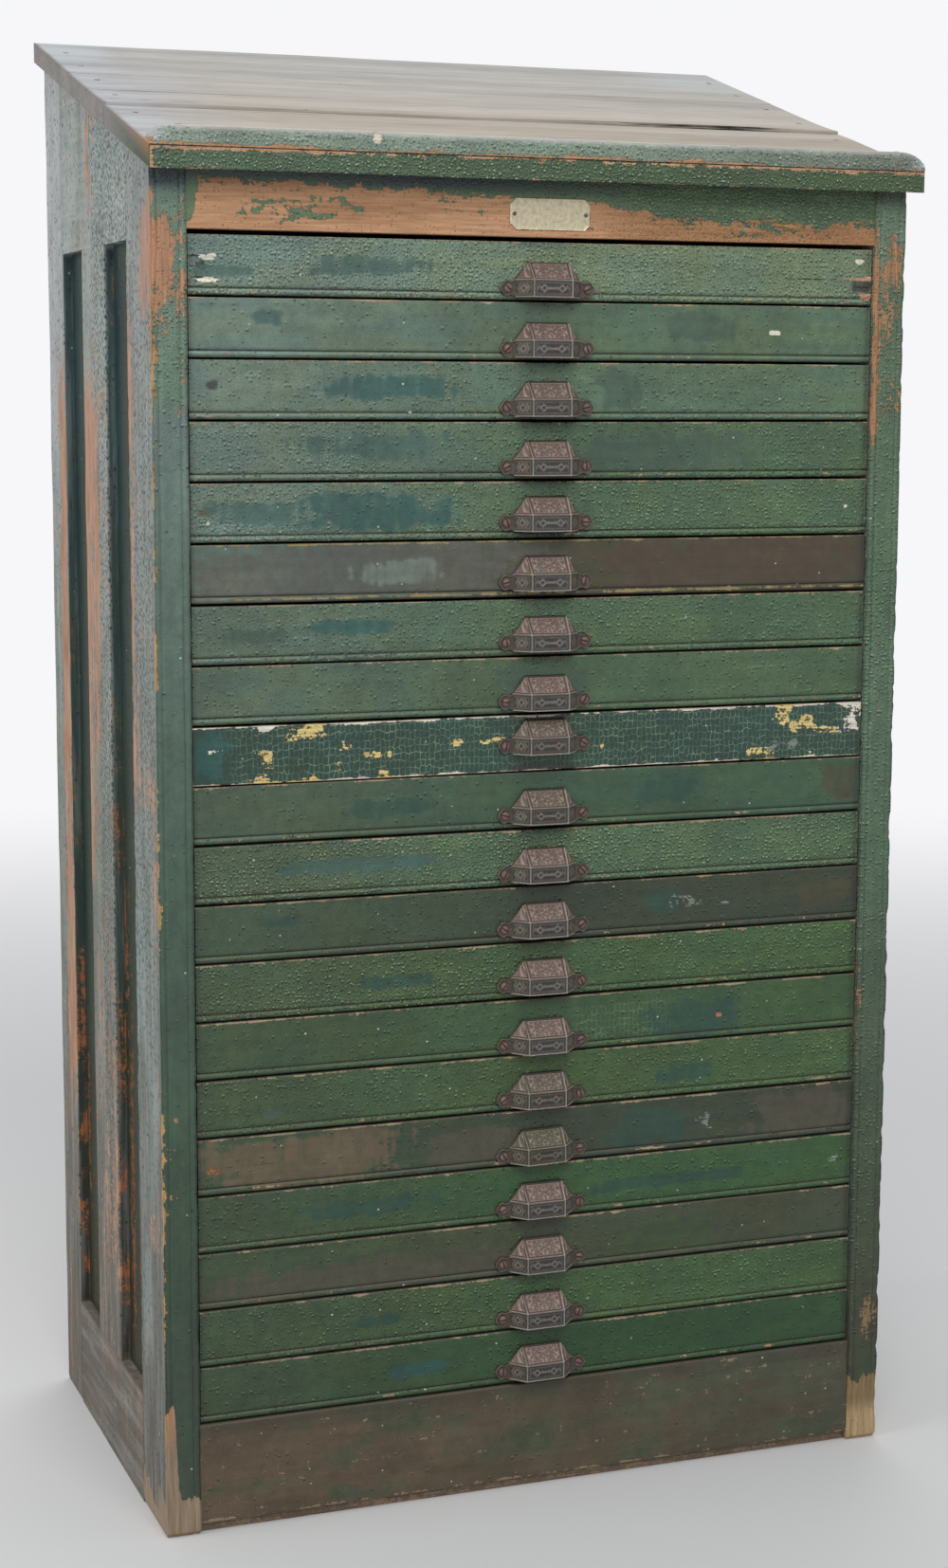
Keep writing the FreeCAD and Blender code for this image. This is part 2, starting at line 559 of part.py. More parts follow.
# Pull: a hooded iron casting, open below for the fingers, with an ear at each end
def hood(base, top, front, depth, band, height, bottom):
    """A many-sided hood from its half widths, its depth and its heights."""
    corner = [FreeCAD.Vector(*p) for p in (
        (-base, 0, bottom), (base, 0, bottom), (base, 0, band), (top, 0, height),
        (-top, 0, height), (-base, 0, band), (-front, -depth, bottom), (front, -depth, bottom),
        (front, -depth, band), (-front, -depth, band))]
    faces = ((0, 1, 2, 3, 4, 5), (0, 6, 7, 1), (6, 9, 8, 7), (9, 4, 3, 8),
             (0, 5, 9, 6), (1, 7, 8, 2), (5, 4, 9), (2, 8, 3))
    rings = [[corner[i] for i in face] for face in faces]
    walls = [Part.Face(Part.makePolygon(ring + ring[:1])) for ring in rings]
    return Part.Solid(Part.makeShell(walls))


wall = size["pull_wall"]
half_base = size["hood_width"] / 2
half_top = size["hood_top_width"] / 2
half_front = size["hood_front_width"] / 2
outer = hood(half_base, half_top, half_front, size["hood_depth"], size["hood_band"],
             size["hood_height"], 0)
inner = hood(half_base - 2 * wall, half_top - wall, half_front - wall,
             size["hood_depth"] - wall, size["hood_band"] - wall,
             size["hood_height"] - 2 * wall, -size["overrun"])
casting = outer
ear_radius = size["ear_height"] / 2
ear_centre = size["pull_width"] / 2 - ear_radius
towards_front = FreeCAD.Vector(0, -1, 0)
screw_solids = []
for sign in (-1, 1):
    inside = sign * (half_base - wall)
    outside = sign * ear_centre
    start = FreeCAD.Vector(min(inside, outside), -size["ear_thickness"], 0)
    plate_part = Part.makeBox(abs(outside - inside), size["ear_thickness"],
                              size["ear_height"], start)
    eye = FreeCAD.Vector(outside, 0, ear_radius)
    disc = Part.makeCylinder(ear_radius, size["ear_thickness"], eye, towards_front)
    hole = Part.makeCylinder(size["screw_radius"] + size["fastener_play"],
                             size["ear_thickness"], eye, towards_front)
    casting = casting.fuse(plate_part.fuse(disc)).cut(hole)
    seat_point = eye + towards_front * size["ear_thickness"]
    shank = Part.makeCylinder(size["screw_radius"], size["screw_length"], seat_point,
                              towards_front * -1)
    head = Part.makeCone(size["screw_head_radius"], SCREW_CROWN_SHARE * size["screw_head_radius"],
                         size["screw_head_height"], seat_point, towards_front)
    slot_corner = FreeCAD.Vector(outside - size["screw_head_radius"],
                                 seat_point.y - size["screw_head_height"],
                                 ear_radius - size["screw_slot"] / 2)
    slot = Part.makeBox(2 * size["screw_head_radius"], size["screw_slot"], size["screw_slot"],
                        slot_corner)
    screw_solids.append(shank.fuse(head.cut(slot)))
pull = doc.addObject("Part::Feature", "pull_casting")
pull.Shape = casting.cut(inner).removeSplitter()
screws = doc.addObject("Part::Feature", "pull_screws")
screws.Shape = Part.makeCompound(screw_solids)

screw_places = [f"{PULL_CENTRE} {sign} (pull_width - ear_height) / 2" for sign in "-+"]
screw_holes = group("screw_holes", [
    round_bar(f"screw_hole_{i}", "screw_radius + fastener_play",
              "screw_length - ear_thickness + fastener_play", x, "front_setback",
              "ear_height / 2") for i, x in enumerate(screw_places, 1)])

# The cases, numbered from the top, each with its own pull
for number, share in enumerate(PULL_HEIGHT_SHARES, 1):
    level = f"first_level + {CASE_COUNT - number} * case_pitch"
    pull_height = f"front_lift + {share} * front_height"
    holes_here = group(f"screw_holes_{number}", [screw_holes])
    seat(holes_here, "0", "0", pull_height)
    face = front_blank if number == PLAIN_FRONT else beaded_front
    front = cut(f"front_{number}", face, holes_here)
    node(f"case_{number:02d}", [front] + tray, z=level)
    node(f"pull_{number:02d}", [pull, screws], x=PULL_CENTRE, y="front_setback",
         z=f"{level} + {pull_height}")

doc.recompute()

# Every object is checked before anything is written
for thing in doc.Objects:
    if {"Invalid", "Error"} & set(thing.State):
        raise RuntimeError(f"{thing.Name} did not compute: {thing.State}")
os.makedirs("parts", exist_ok=True)
for part in nodes:
    if part.Shape.isNull() or not part.Shape.isValid():
        raise RuntimeError(f"{part.Label} has no sound shape")
for part in nodes:
    part.Shape.exportStep(os.path.join("parts", f"{part.Label}.step"))
print(len(nodes), "nodes,", sum(len(part.Shape.Solids) for part in nodes), "solids")
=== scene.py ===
import math

import bpy
import numpy as np
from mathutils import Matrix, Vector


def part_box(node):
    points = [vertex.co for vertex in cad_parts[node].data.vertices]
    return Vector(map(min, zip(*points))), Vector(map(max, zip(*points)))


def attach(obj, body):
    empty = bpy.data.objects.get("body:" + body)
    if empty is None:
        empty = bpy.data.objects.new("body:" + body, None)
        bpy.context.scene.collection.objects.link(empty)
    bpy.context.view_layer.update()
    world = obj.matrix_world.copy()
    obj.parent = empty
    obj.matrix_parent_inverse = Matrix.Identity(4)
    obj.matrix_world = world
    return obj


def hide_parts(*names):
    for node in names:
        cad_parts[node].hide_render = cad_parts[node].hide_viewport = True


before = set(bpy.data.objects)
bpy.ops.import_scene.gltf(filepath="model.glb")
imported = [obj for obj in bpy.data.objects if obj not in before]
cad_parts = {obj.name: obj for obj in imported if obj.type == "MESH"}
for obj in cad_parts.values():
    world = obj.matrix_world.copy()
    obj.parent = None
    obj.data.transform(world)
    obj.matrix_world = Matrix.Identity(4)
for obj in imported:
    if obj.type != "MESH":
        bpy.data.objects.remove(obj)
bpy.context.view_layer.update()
mm = 0.001

# The view stands to the left of the cabinet's middle, at the height of the upper cases, and
# looks slightly down, as the photograph was taken. Its long side is the picture's height.
AZIMUTH, TILT, ROLL = 0.3539, 0.1433, 0.0034
across = np.array((math.cos(AZIMUTH), -math.sin(AZIMUTH), 0))
ahead = np.array((math.sin(AZIMUTH) * math.cos(TILT), math.cos(AZIMUTH) * math.cos(TILT),
                  -math.sin(TILT)))
upward = np.cross(across, ahead)
pose = np.eye(4)
pose[:3, 0] = across * math.cos(ROLL) + upward * math.sin(ROLL)
pose[:3, 1] = upward * math.cos(ROLL) - across * math.sin(ROLL)
pose[:3, 2] = -ahead
pose[:3, 3] = (-0.9329, -2.5599, 1.0586)
camera = bpy.data.objects.new("camera", bpy.data.cameras.new("camera"))
camera.data.sensor_width = 36
camera.data.lens = 61.75
camera.matrix_world = pose.T.tolist()
bpy.context.scene.collection.objects.link(camera)
bpy.context.scene.camera = camera
bpy.context.scene.view_settings.view_transform = "Standard"


# A pale matt floor that runs out into white, a white surround, and three large soft lamps:
# the main one high at the front, a weaker one at the left and one behind for the top.
def add(tree, kind, inputs=(), out=0, **settings):
    """Adds a shader node, sets it, feeds its inputs with values or outputs, gives one output."""
    node = tree.nodes.new(f"ShaderNode{kind}")
    for key, value in settings.items():
        setattr(node, key, value)
    for key, value in dict(inputs).items():
        if isinstance(value, bpy.types.NodeSocket):
            tree.links.new(value, node.inputs[key])
        else:
            node.inputs[key].default_value = value
    return node.outputs[out]


def times(tree, a, b, plus=None, **settings):
    """Product of two values or outputs, with a third added if there is one."""
    if plus is None:
        return add(tree, "Math", {0: a, 1: b}, operation="MULTIPLY", **settings)
    return add(tree, "Math", {0: a, 1: b, 2: plus}, operation="MULTIPLY_ADD")


def remap(tree, value, low, high, start=0, end=1, **settings):
    """Runs from start to end as a value passes from low to high, and is flat outside."""
    return add(tree, "MapRange", {0: value, 1: low, 2: high, 3: start, 4: end}, **settings)


def mix(tree, share, colour, other):
    """A colour on the way from one to the other. A hex code stands for its colour."""
    pair = [rgba(c) if isinstance(c, str) else c for c in (colour, other)]
    return add(tree, "Mix", {0: share, 6: pair[0], 7: pair[1]}, out=2, data_type="RGBA")


def brighten(tree, colour, value):
    """A colour times a value."""
    return add(tree, "HueSaturation", {"Value": value, "Color": colour})


def noise(tree, place, scale, detail, rough=0.5, twist=0.0):
    """Layered random field, 0 to 1, at a place."""
    return add(tree, "TexNoise", {"Vector": place, "Scale": scale, "Detail": detail,
                                  "Roughness": rough, "Distortion": twist})


def read(tree, layer, out=0):
    """A layer that the mesh carries at its points: out 0 is a colour, 1 a vector, 2 a number."""
    return add(tree, "Attribute", out=out, attribute_name=layer)


def coat(tree, colour, rough, height, strength, deep, more=()):
    """Ends a material: a surface with a colour, a roughness and relief of a strength and depth."""
    bump = add(tree, "Bump", {"Strength": strength, "Distance": deep, "Height": height})
    finish_with(tree, add(tree, "BsdfPrincipled", {"Base Color": colour, "Roughness": rough,
                                                   "Normal": bump, **dict(more)}))


def fresh(name):
    """A new material with an empty tree."""
    material = bpy.data.materials.new(name)
    material.use_nodes = True
    material.node_tree.nodes.clear()
    return material, material.node_tree


def finish_with(tree, shader):
    """Joins a shader to the material's output."""
    tree.links.new(shader, tree.nodes.new("ShaderNodeOutputMaterial").inputs["Surface"])


floor_paint, tree = fresh("matt_floor_paint")
matt = add(tree, "BsdfDiffuse", {"Color": (0.72, 0.72, 0.72, 1)})
white = add(tree, "Emission", {"Color": (0.93, 0.93, 0.95, 1), "Strength": 1.0})
away = add(tree, "VectorMath", {0: add(tree, "NewGeometry")}, out=1, operation="LENGTH")
seen = add(tree, "LightPath")
seen = add(tree, "Math", {0: seen, 1: seen.node.outputs["Is Glossy Ray"]}, operation="MAXIMUM")
fade = times(tree, remap(tree, away, 1.2, 4.5, interpolation_type="SMOOTHSTEP"), seen)
finish_with(tree, add(tree, "MixShader", {0: fade, 1: matt, 2: white}))
turn = np.linspace(0, 2 * np.pi, 65)[:-1]
rim = np.stack((30 * np.cos(turn), 30 * np.sin(turn), np.zeros(64)), axis=1)
sheet = bpy.data.meshes.new("floor")
sheet.from_pydata(rim.tolist(), [], [list(range(64))])
sheet.materials.append(floor_paint)
floor = bpy.data.objects.new("floor", sheet)
bpy.context.scene.collection.objects.link(floor)

world = bpy.data.worlds.new("studio")
bpy.context.scene.world = world
world.use_nodes = True
tree = world.node_tree
tree.nodes.clear()
seen = add(tree, "LightPath")
for ray in ("Is Glossy Ray", "Is Transmission Ray"):
    seen = add(tree, "Math", {0: seen, 1: tree.nodes["Light Path"].outputs[ray]}, operation="MAXIMUM")
dim = add(tree, "Background", {"Color": (0.95, 0.97, 1.0, 1), "Strength": 0.42})
plain = add(tree, "Background", {"Color": (0.93, 0.93, 0.95, 1), "Strength": 1.0})
tree.links.new(add(tree, "MixShader", {0: seen, 1: dim, 2: plain}),
               tree.nodes.new("ShaderNodeOutputWorld").inputs["Surface"])

for name, place, aim, wide, watts in (
        ("main_lamp", (-0.6, -3.2, 3.6), (0, 0, 0.8), 2.6, 92),
        ("side_lamp", (-3.4, -0.4, 1.9), (-0.3, 0, 0.8), 2.2, 42),
        ("top_lamp", (0.6, 1.6, 3.8), (0, 0.1, 1.3), 2.2, 38)):
    lamp = bpy.data.objects.new(name, bpy.data.lights.new(name, "AREA"))
    lamp.data.size = wide
    lamp.data.energy = watts
    back = np.array(place) - np.array(aim)
    back = back / np.linalg.norm(back)
    side = np.cross((0, 0, 1), back)
    side = side / np.linalg.norm(side)
    pose = np.eye(4)
    pose[:3, :] = np.stack((side, np.cross(back, side), back, place), axis=1)
    lamp.matrix_world = pose.T.tolist()
    bpy.context.scene.collection.objects.link(lamp)


# Front posts: one stick of pine each from the floor to the top, with a bead down both edges
# of the face. Layers of green oil paint have blistered and worn to the wood on the arrises.
def tone(code):
    """Linear red, green and blue of an sRGB hex colour."""
    value = np.array([int(code[i:i + 2], 16) for i in (1, 3, 5)]) / 255
    return np.where(value <= 0.04045, value / 12.92, ((value + 0.055) / 1.055) ** 2.4)


def rgba(code):
    """The same as a shader colour."""
    return (*tone(code), 1.0)


def smooth(t):
    """Rises from 0 to 1 as 3t² - 2t³, and is flat outside."""
    t = np.clip(t, 0, 1)
    return t * t * (3 - 2 * t)


def hump(v, width):
    """1 at zero, falling off on both sides as exp of minus the square of v over the width."""
    return np.exp(-(v / width) ** 2)


def past(v, start, reach):
    """Rises smoothly from 0 to 1 as v passes from start on over a reach."""
    return smooth((v - start) / reach)


def within(v, low, high, soft):
    """1 between low and high, falling to 0 across a soft border."""
    return smooth((v - low) / soft + 0.5) * (1 - smooth((v - high) / soft + 0.5))


def drift(points, size, seed=0, layers=1):
    """Smooth random field, 0 to 1: random values at the corners of a lattice of cells of the
    given size, blended with the smooth step between the corners of each cell. Each further layer
    has half the size and half the strength of the one before."""
    total = np.zeros(points.shape[:-1])
    for layer in range(layers):
        cell = points / np.array(size) * 2 ** layer
        base = np.floor(cell)
        share = smooth(cell - base)
        for corner in np.ndindex(2, 2, 2):
            spot = np.sin((base + corner) @ (12.9898, 78.233, 37.719) + 5.13 * seed + layer)
            spot = spot * 43758.5453
            weight = np.prod(np.where(np.array(corner) == 1, share, 1 - share), axis=-1)
            total += weight * (spot - np.floor(spot)) / 2 ** layer
    return total / (2 - 0.5 ** (layers - 1))


def sway(points, size, seed=0, layers=1):
    """The same field about zero, -0.5 to 0.5."""
    return drift(points, size, seed, layers) - 0.5


def rectangle(a, b, c, d):
    """Corners of a rectangle from (a, b) to (c, d); its first side runs along the first axis."""
    return (a, b), (c, b), (c, d), (a, d)


def outline(corners, radius, steps):
    """A closed outline in a plane: straight sides, each divided into steps of about its own
    length, joined by curves whose middle control point is the corner."""
    corners = np.array(corners, float)
    count = len(corners)
    radius = np.broadcast_to(radius, count)
    steps = np.broadcast_to(steps, count)
    rounds = []
    t = np.linspace(0, 1, 5)[:, None]
    for i in range(count):
        here = corners[i]
        back = corners[i - 1] - here
        on = corners[(i + 1) % count] - here
        start = here + back * radius[i] / np.linalg.norm(back)
        end = here + on * radius[i] / np.linalg.norm(on)
        rounds.append((1 - t) ** 2 * start + 2 * t * (1 - t) * here + t * t * end)
    pieces = []
    for i in range(count):
        start, end = rounds[i][-1], rounds[(i + 1) % count][0]
        parts = max(1, round(float(np.linalg.norm(end - start)) / steps[i]))
        share = np.arange(1, parts)[:, None] / parts
        pieces += [rounds[i], start + (end - start) * share]
    return np.concatenate(pieces)


def solid(name, tubes, paint, body, nodes=(), second=None):
    """One mesh of closed tubes. A tube is a pair of an array of rings, (rings, points, 3), and a
    function that gives its colours: tint, under, wear and lay at every point. Quads join ring to
    ring, and a flat face closes each end. second picks points whose faces get the next material."""
    points, layers, starts, corners, kinds = [], [], [], [], []
    offset, loops = 0, 0
    for rings, colours in tubes:
        count, around = rings.shape[:2]
        area = rings.reshape(-1, 3)
        number = offset + np.arange(count * around).reshape(count, around)
        after = np.roll(number, -1, axis=1)
        quads = np.stack((number[:-1], after[:-1], after[1:], number[1:]), axis=-1).reshape(-1, 4)
        middle = area.mean(axis=0)
        a, b, c, d = (area[quads[:, k] - offset] - middle for k in range(4))
        volume = (np.cross(a, b) * c).sum() + (np.cross(a, c) * d).sum()
        ends = [number[0][::-1], number[-1]]
        for end in ends:
            fan = area[end - offset] - middle
            volume += (np.cross(fan[0], fan[1:-1]) * fan[2:]).sum()
        if volume < 0:
            quads = quads[:, ::-1]
            ends = [end[::-1] for end in ends]
        kind = np.zeros(len(quads) + 2, int)
        if second is not None:
            picked = second(rings)
            both = picked & np.roll(picked, -1, axis=1)
            kind[:len(quads)] = (both[:-1] & both[1:]).reshape(-1)
        starts += [loops + 4 * np.arange(len(quads)), loops + 4 * len(quads) + np.array((0, around))]
        corners += [quads.reshape(-1), *ends]
        kinds.append(kind)
        points.append(area)
        layers.append(colours(rings))
        offset += count * around
        loops += 4 * len(quads) + 2 * around
    points = np.concatenate(points)
    corners = np.concatenate(corners)
    starts = np.concatenate(starts)
    mesh = bpy.data.meshes.new(name)
    mesh.vertices.add(len(points))
    mesh.vertices.foreach_set("co", points.ravel().astype(np.float32))
    mesh.loops.add(len(corners))
    mesh.loops.foreach_set("vertex_index", corners.astype(np.int32))
    mesh.polygons.add(len(starts))
    mesh.polygons.foreach_set("loop_start", starts.astype(np.int32))
    for material in paint if isinstance(paint, tuple) else (paint,):
        mesh.materials.append(material)
    mesh.polygons.foreach_set("material_index", np.concatenate(kinds).astype(np.int32))
    mesh.update(calc_edges=True)
    mesh.validate()
    mesh.polygons.foreach_set("use_smooth", np.ones(len(starts), bool))
    mesh.set_sharp_from_angle(angle=math.radians(38))
    for layer in layers[0]:
        field = np.concatenate([made[layer].reshape(-1, made[layer].shape[-1]) for made in layers])
        kind, slot_name = {1: ("FLOAT", "value"), 3: ("FLOAT_VECTOR", "vector"),
                           4: ("FLOAT_COLOR", "color")}[field.shape[1]]
        attribute = mesh.attributes.new(layer, kind, "POINT")
        attribute.data.foreach_set(slot_name, field.ravel().astype(np.float32))
    piece = bpy.data.objects.new(name, mesh)
    bpy.context.scene.collection.objects.link(piece)
    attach(piece, body)
    if nodes:
        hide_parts(*nodes)
    return piece


def blend(base, other, share):
    """Colour field that goes from base to other by a share at each point. A hex code stands for
    its colour."""
    base, other = (tone(c) if isinstance(c, str) else c for c in (base, other))
    return base + (other - base) * np.asarray(share)[..., None]


def film(rings, tint, grain, seed, under="#9a6a45", bare=0.0, net=0.0, raised=0.0, grime=0.0,
         crack=9.0):
    """The layers of a painted surface: tint of the paint, colour under it, the shares of bare wood,
    cracked net, blisters and grime, where the grime also carries painted shade and shadow,
    millimetres to the nearest crack, and places along the grain, whose axis is grain."""
    shape = rings.shape[:2]
    order = {"x": (0, 1, 2), "y": (1, 0, 2), "z": (2, 0, 1)}[grain]
    wear = np.stack([np.broadcast_to(v, shape) for v in (bare, net, raised, grime)], axis=-1)
    one = np.ones((*shape, 1))
    tints, unders = (np.concatenate((np.broadcast_to(tone(c) if isinstance(c, str) else c,
                                                     (*shape, 3)), one), axis=-1)
                     for c in (tint, under))
    return {"tint": tints, "under": unders, "wear": np.clip(wear, 0, 1),
            "crack": crack * one if np.isscalar(crack) else crack[..., None],
            "lay": rings[..., order] + np.array((0.37, 0.71, 0.53)) * seed}


def aged_paint(name, chalky, specular=0.5):
    """Oil paint on wood. A half-glossy film carries blisters 2 mm wide and about 4 mm apart: each
    stands up as a dome, lighter above with a painted highlight and darker below with painted shade.
    Worn places show the grain of the wood with a dark rim of old paint. Chalky paint has lost its
    gloss, and its blisters have gone dark. Paint under dust has a low specular level."""
    material, t = fresh(name)
    spot = add(t, "TexCoord", out=3)
    lay = read(t, "lay", 1)
    tint = read(t, "tint")
    under = read(t, "under")
    wear = read(t, "wear")
    crack = read(t, "crack", 2)
    grime = wear.node.outputs[3]
    bare, net, raised = add(t, "SeparateColor", {0: wear}).node.outputs
    along = add(t, "VectorMath", {0: lay, 1: (0.06, 1, 1)}, operation="MULTIPLY")
    cloud = noise(t, lay, 12, 5, 0.6)
    mottle = noise(t, lay, 95, 6, 0.7)
    grain = noise(t, along, 430, 4, 0.6)
    streak = noise(t, along, 130, 5, 0.6)

    # Paint film: cloudy in depth of colour, brushed along the board
    depth = remap(t, cloud, 0.3, 0.7, 0.8, 1.2)
    fine = remap(t, mottle, 0.3, 0.7, 0.78, 1.22)
    brushed = remap(t, streak, 0.3, 0.7, 0.88, 1.12)
    depth = times(t, times(t, depth, fine), brushed)
    hue = remap(t, mottle, 0.3, 0.7, 0.512, 0.488)
    colour = add(t, "HueSaturation", {"Hue": hue, "Saturation": 1.08, "Value": depth, "Color": tint})

    # Blisters, laid out on the faces of the boards, over a finer pebbling of the film
    x, y, z = add(t, "SeparateXYZ", {0: spot}).node.outputs
    face = add(t, "Math", {0: x, 1: y})
    stretch = times(t, z, 0.7 if chalky else 1.0)
    face = add(t, "CombineXYZ", {0: face, 1: stretch})
    cells = add(t, "TexVoronoi", {"Vector": face, "Scale": 270 if chalky else 250},
                voronoi_dimensions="2D")
    pick, size, _ = add(t, "SeparateColor", {0: cells.node.outputs["Color"]}).node.outputs
    there = remap(t, add(t, "Math", {0: pick, 1: raised}), 0.98, 1.04)
    reach = remap(t, size, 0, 1, 0.3 if chalky else 0.16, 0.52 if chalky else 0.44)
    away = add(t, "Math", {0: cells, 1: reach}, operation="DIVIDE")
    if chalky:
        away = times(t, mottle, 1.6, away)
        away = add(t, "Math", {0: away, 1: -0.8})
    bulge = remap(t, away, 1.0, 0.25, interpolation_type="SMOOTHSTEP")
    pebble = add(t, "TexVoronoi", {"Vector": face, "Scale": 430}, voronoi_dimensions="2D")
    pebble = remap(t, pebble, 0.1, 0.7, 1.0, 0.0)
    patch = times(t, raised, 0.9, 0.12)
    pebble = times(t, pebble, patch)
    lump = times(t, there, bulge)
    if chalky:
        pale = remap(t, streak, 0.46, 0.72, 0, 0.4)
        colour = mix(t, pale, colour, "#a3aaa7")
        dark = remap(t, lump, 0.05, 0.5, 0, 0.88)
        colour = mix(t, dark, colour, "#2c3a37")
        height = times(t, lump, -0.2)
    else:
        # Painted light and shade on each blister: its upper side lighter, its lower side darker, and a
        # painted highlight at its top
        centre = add(t, "SeparateXYZ", {0: cells.node.outputs["Position"]}, out=1)
        above = add(t, "Math", {0: z, 1: centre}, operation="SUBTRACT")
        above = remap(t, above, -1.2 * mm, 1.2 * mm, -0.5, 0.5)
        skirt = times(t, remap(t, away, 1.7, 0.9), there)
        shade = times(t, above, skirt, 1.0)
        colour = brighten(t, colour, shade)
        painted_highlight = times(t, above, lump)
        painted_highlight = times(t, remap(t, painted_highlight, 0.02, 0.26, 0, 0.9), raised)
        colour = mix(t, painted_highlight, colour, "#b9c8a6")
        grains = times(t, pebble, 0.5, 0.86)
        colour = brighten(t, colour, grains)
        height = times(t, lump, 0.8)
        height = times(t, pebble, 0.6, height)

    # Net of cracks: thin pale lines round cells 5 mm wide and 7 mm high
    wave = noise(t, spot, 70, 4, 0.6)
    wave = times(t, wave, 1.4)
    across = times(t, x, 205, wave)
    up = times(t, z, 145, wave)
    cell = add(t, "CombineXYZ", {0: across, 1: up})
    edge = add(t, "TexVoronoi", {"Vector": cell, "Scale": 1.0, "Randomness": 0.4},
               voronoi_dimensions="2D", feature="DISTANCE_TO_EDGE")
    line = remap(t, edge, 0.07, 0.02)
    patchy = remap(t, mottle, 0.42, 0.62, 0.14, 0.68)
    line = times(t, times(t, line, patchy), net)
    colour = mix(t, line, colour, "#9aab8c")

    # White splashes and grit, a few millimetres across
    dots = add(t, "TexVoronoi", {"Vector": face, "Scale": 42}, voronoi_dimensions="2D")
    chosen = add(t, "SeparateColor", {0: dots.node.outputs["Color"]})
    dot = times(t, mottle, 0.1, dots)
    dot = remap(t, dot, 0.09, 0.075)
    few = remap(t, chosen, 0.9, 0.91)
    dot = times(t, dot, few)
    colour = mix(t, dot, colour, "#b9c0b0")

    # Grime, and in the same layer painted shade and shadow: under the lip, below the pulls, in the
    # bead's groove, in the recesses and in the gaps round the fronts
    dirt_and_shade = times(t, remap(t, cloud, 0.3, 0.7, 0.6, 1.3), grime, use_clamp=True)
    colour = mix(t, dirt_and_shade, colour, "#1f1c17")

    # Bare wood where the film is gone, with the grain in it and a dark rim round it
    specks = noise(t, lay, 330, 4, 0.6)
    ragged = bare
    for part, amount in ((mottle, 1.3), (grain, 0.7), (specks, 1.0)):
        ragged = times(t, part, amount, ragged)
    if chalky:
        ragged = times(t, streak, 1.0, ragged)
        ragged = add(t, "Math", {0: ragged, 1: -0.5})
        thin = remap(t, ragged, 1.84, 2.0, 0, 0.5)
        colour = mix(t, thin, colour, under)
    gone = remap(t, ragged, 1.98, 2.05 if chalky else 2.03)
    rim = remap(t, ragged, 1.89, 1.98, 0, 0.15 if chalky else 0.45)
    colour = mix(t, rim, colour, "#2a2a20")
    fibre = remap(t, grain, 0.3, 0.7, 0.68, 1.2)
    fibre = times(t, fibre, brushed)
    wood = brighten(t, under, fibre)
    colour = mix(t, gone, colour, wood)

    # Cracks: dark lines whose edges waver with the paint
    split = times(t, mottle, 1.6, crack)
    split = remap(t, split, 1.0, 0.7)
    colour = mix(t, split, colour, "#15130f")

    # Dust lies on what faces up
    lift = add(t, "SeparateXYZ", {0: add(t, "NewGeometry", out=1)}, out=2)
    dust = remap(t, lift, 0.5, 0.95, 0, 0.45)
    colour = mix(t, dust, colour, "#8d8577")

    # Relief in millimetres: lumps, film over bare wood, brush marks, cracks and grain
    for part, amount in ((gone, -0.25), (mottle, 0.5), (grain, 0.14), (line, -0.15),
                         (split, -0.5)):
        height = times(t, part, amount, height)
    gloss = remap(t, mottle, 0.3, 0.7, 0.62 if chalky else 0.36, 0.8 if chalky else 0.56)
    rough = add(t, "Mix", {0: gone, 2: gloss, 3: 0.8})
    coat(t, colour, rough, height, 1.0, mm, {"Specular IOR Level": specular})
    return material


glossy_paint = aged_paint("aged_oil_paint", chalky=False)
chalked_paint = aged_paint("chalked_oil_paint", chalky=True)
dusty_paint = aged_paint("dusty_oil_paint", chalky=False, specular=0.1)

top_low, top_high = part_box("top_boards")
LIP = 19.77 * mm
RISE = (top_high.z - (top_low.z + LIP)) / (top_high.y - top_low.y)


def under_top(y):
    """Height of the sloping underside of the top at a depth y."""
    return top_low.z + (y - top_low.y) * RISE


def upright(profile, bottom, top, step, round_foot=0.0):
    """An upright stick: the outline, in x and y, is carried from the bottom to the top, and the
    top may be a function of y. Near the floor a worn foot draws in towards the outline's middle."""
    tops = top(profile[:, 1]) if callable(top) else np.full(len(profile), top)
    count = max(2, round((float(tops.max()) - bottom) / step) + 1)
    share = np.linspace(0, 1, count)[:, None]
    z = bottom + share * (tops - bottom)
    middle = (profile.min(axis=0) + profile.max(axis=0)) / 2
    draw = 1 - round_foot * np.clip(1 - (z - bottom) / (5 * mm), 0, 1)[..., None] ** 2
    flat = middle + (profile - middle) * draw
    return np.concatenate((flat, z[..., None]), axis=-1)


def worn(rings, amount, seed, size=0.05):
    """Uneven by hand and wear: moves each point by up to the amount along smooth random fields."""
    parts = [sway(rings, size, seed + k) for k in range(3)]
    return rings + 2 * amount * np.stack(parts, axis=-1)


def nibbled(rings, low, high, deep, seed):
    """Small bites out of the upright edges: points within about 3 mm of a corner of the stick draw
    in towards its middle wherever a random field along the height is high."""
    x, y = rings[..., 0], rings[..., 1]
    reach = np.minimum(x - low.x, high.x - x) + np.minimum(y - low.y, high.y - y)
    bite = np.clip(drift(rings, (0.06, 0.06, 0.014), seed, 3) - 0.52, 0, 0.25) / 0.25
    bite = deep * bite * np.exp(-np.clip(reach, 0, 1) / (2.5 * mm))
    rings = rings.copy()
    rings[..., 0] += np.sign((low.x + high.x) / 2 - x) * bite
    rings[..., 1] += np.sign((low.y + high.y) / 2 - y) * bite
    return rings


def bead_depth(s, width, deep):
    """Depth below the face at a distance s from the edge: a half round of the given width that
    falls away most on the edge's side, then a V groove, then the flat."""
    t = np.clip(2 * s / width - 1, -1, 1)
    half = np.where(t < 0, 1.7, 1.0) * (1 - np.sqrt(1 - t * t))
    groove = np.clip(1 - (s - width) / (1.2 * deep), 0, 1)
    return deep * np.where(s < width, half, groove)


BEAD, QUIRK = 6 * mm, 1.4 * mm


def ramp(value, places, codes):
    """Colour that runs through the given tones as a value passes the given places."""
    return np.stack([np.interp(value, places, [tone(c)[k] for c in codes]) for k in range(3)], axis=-1)


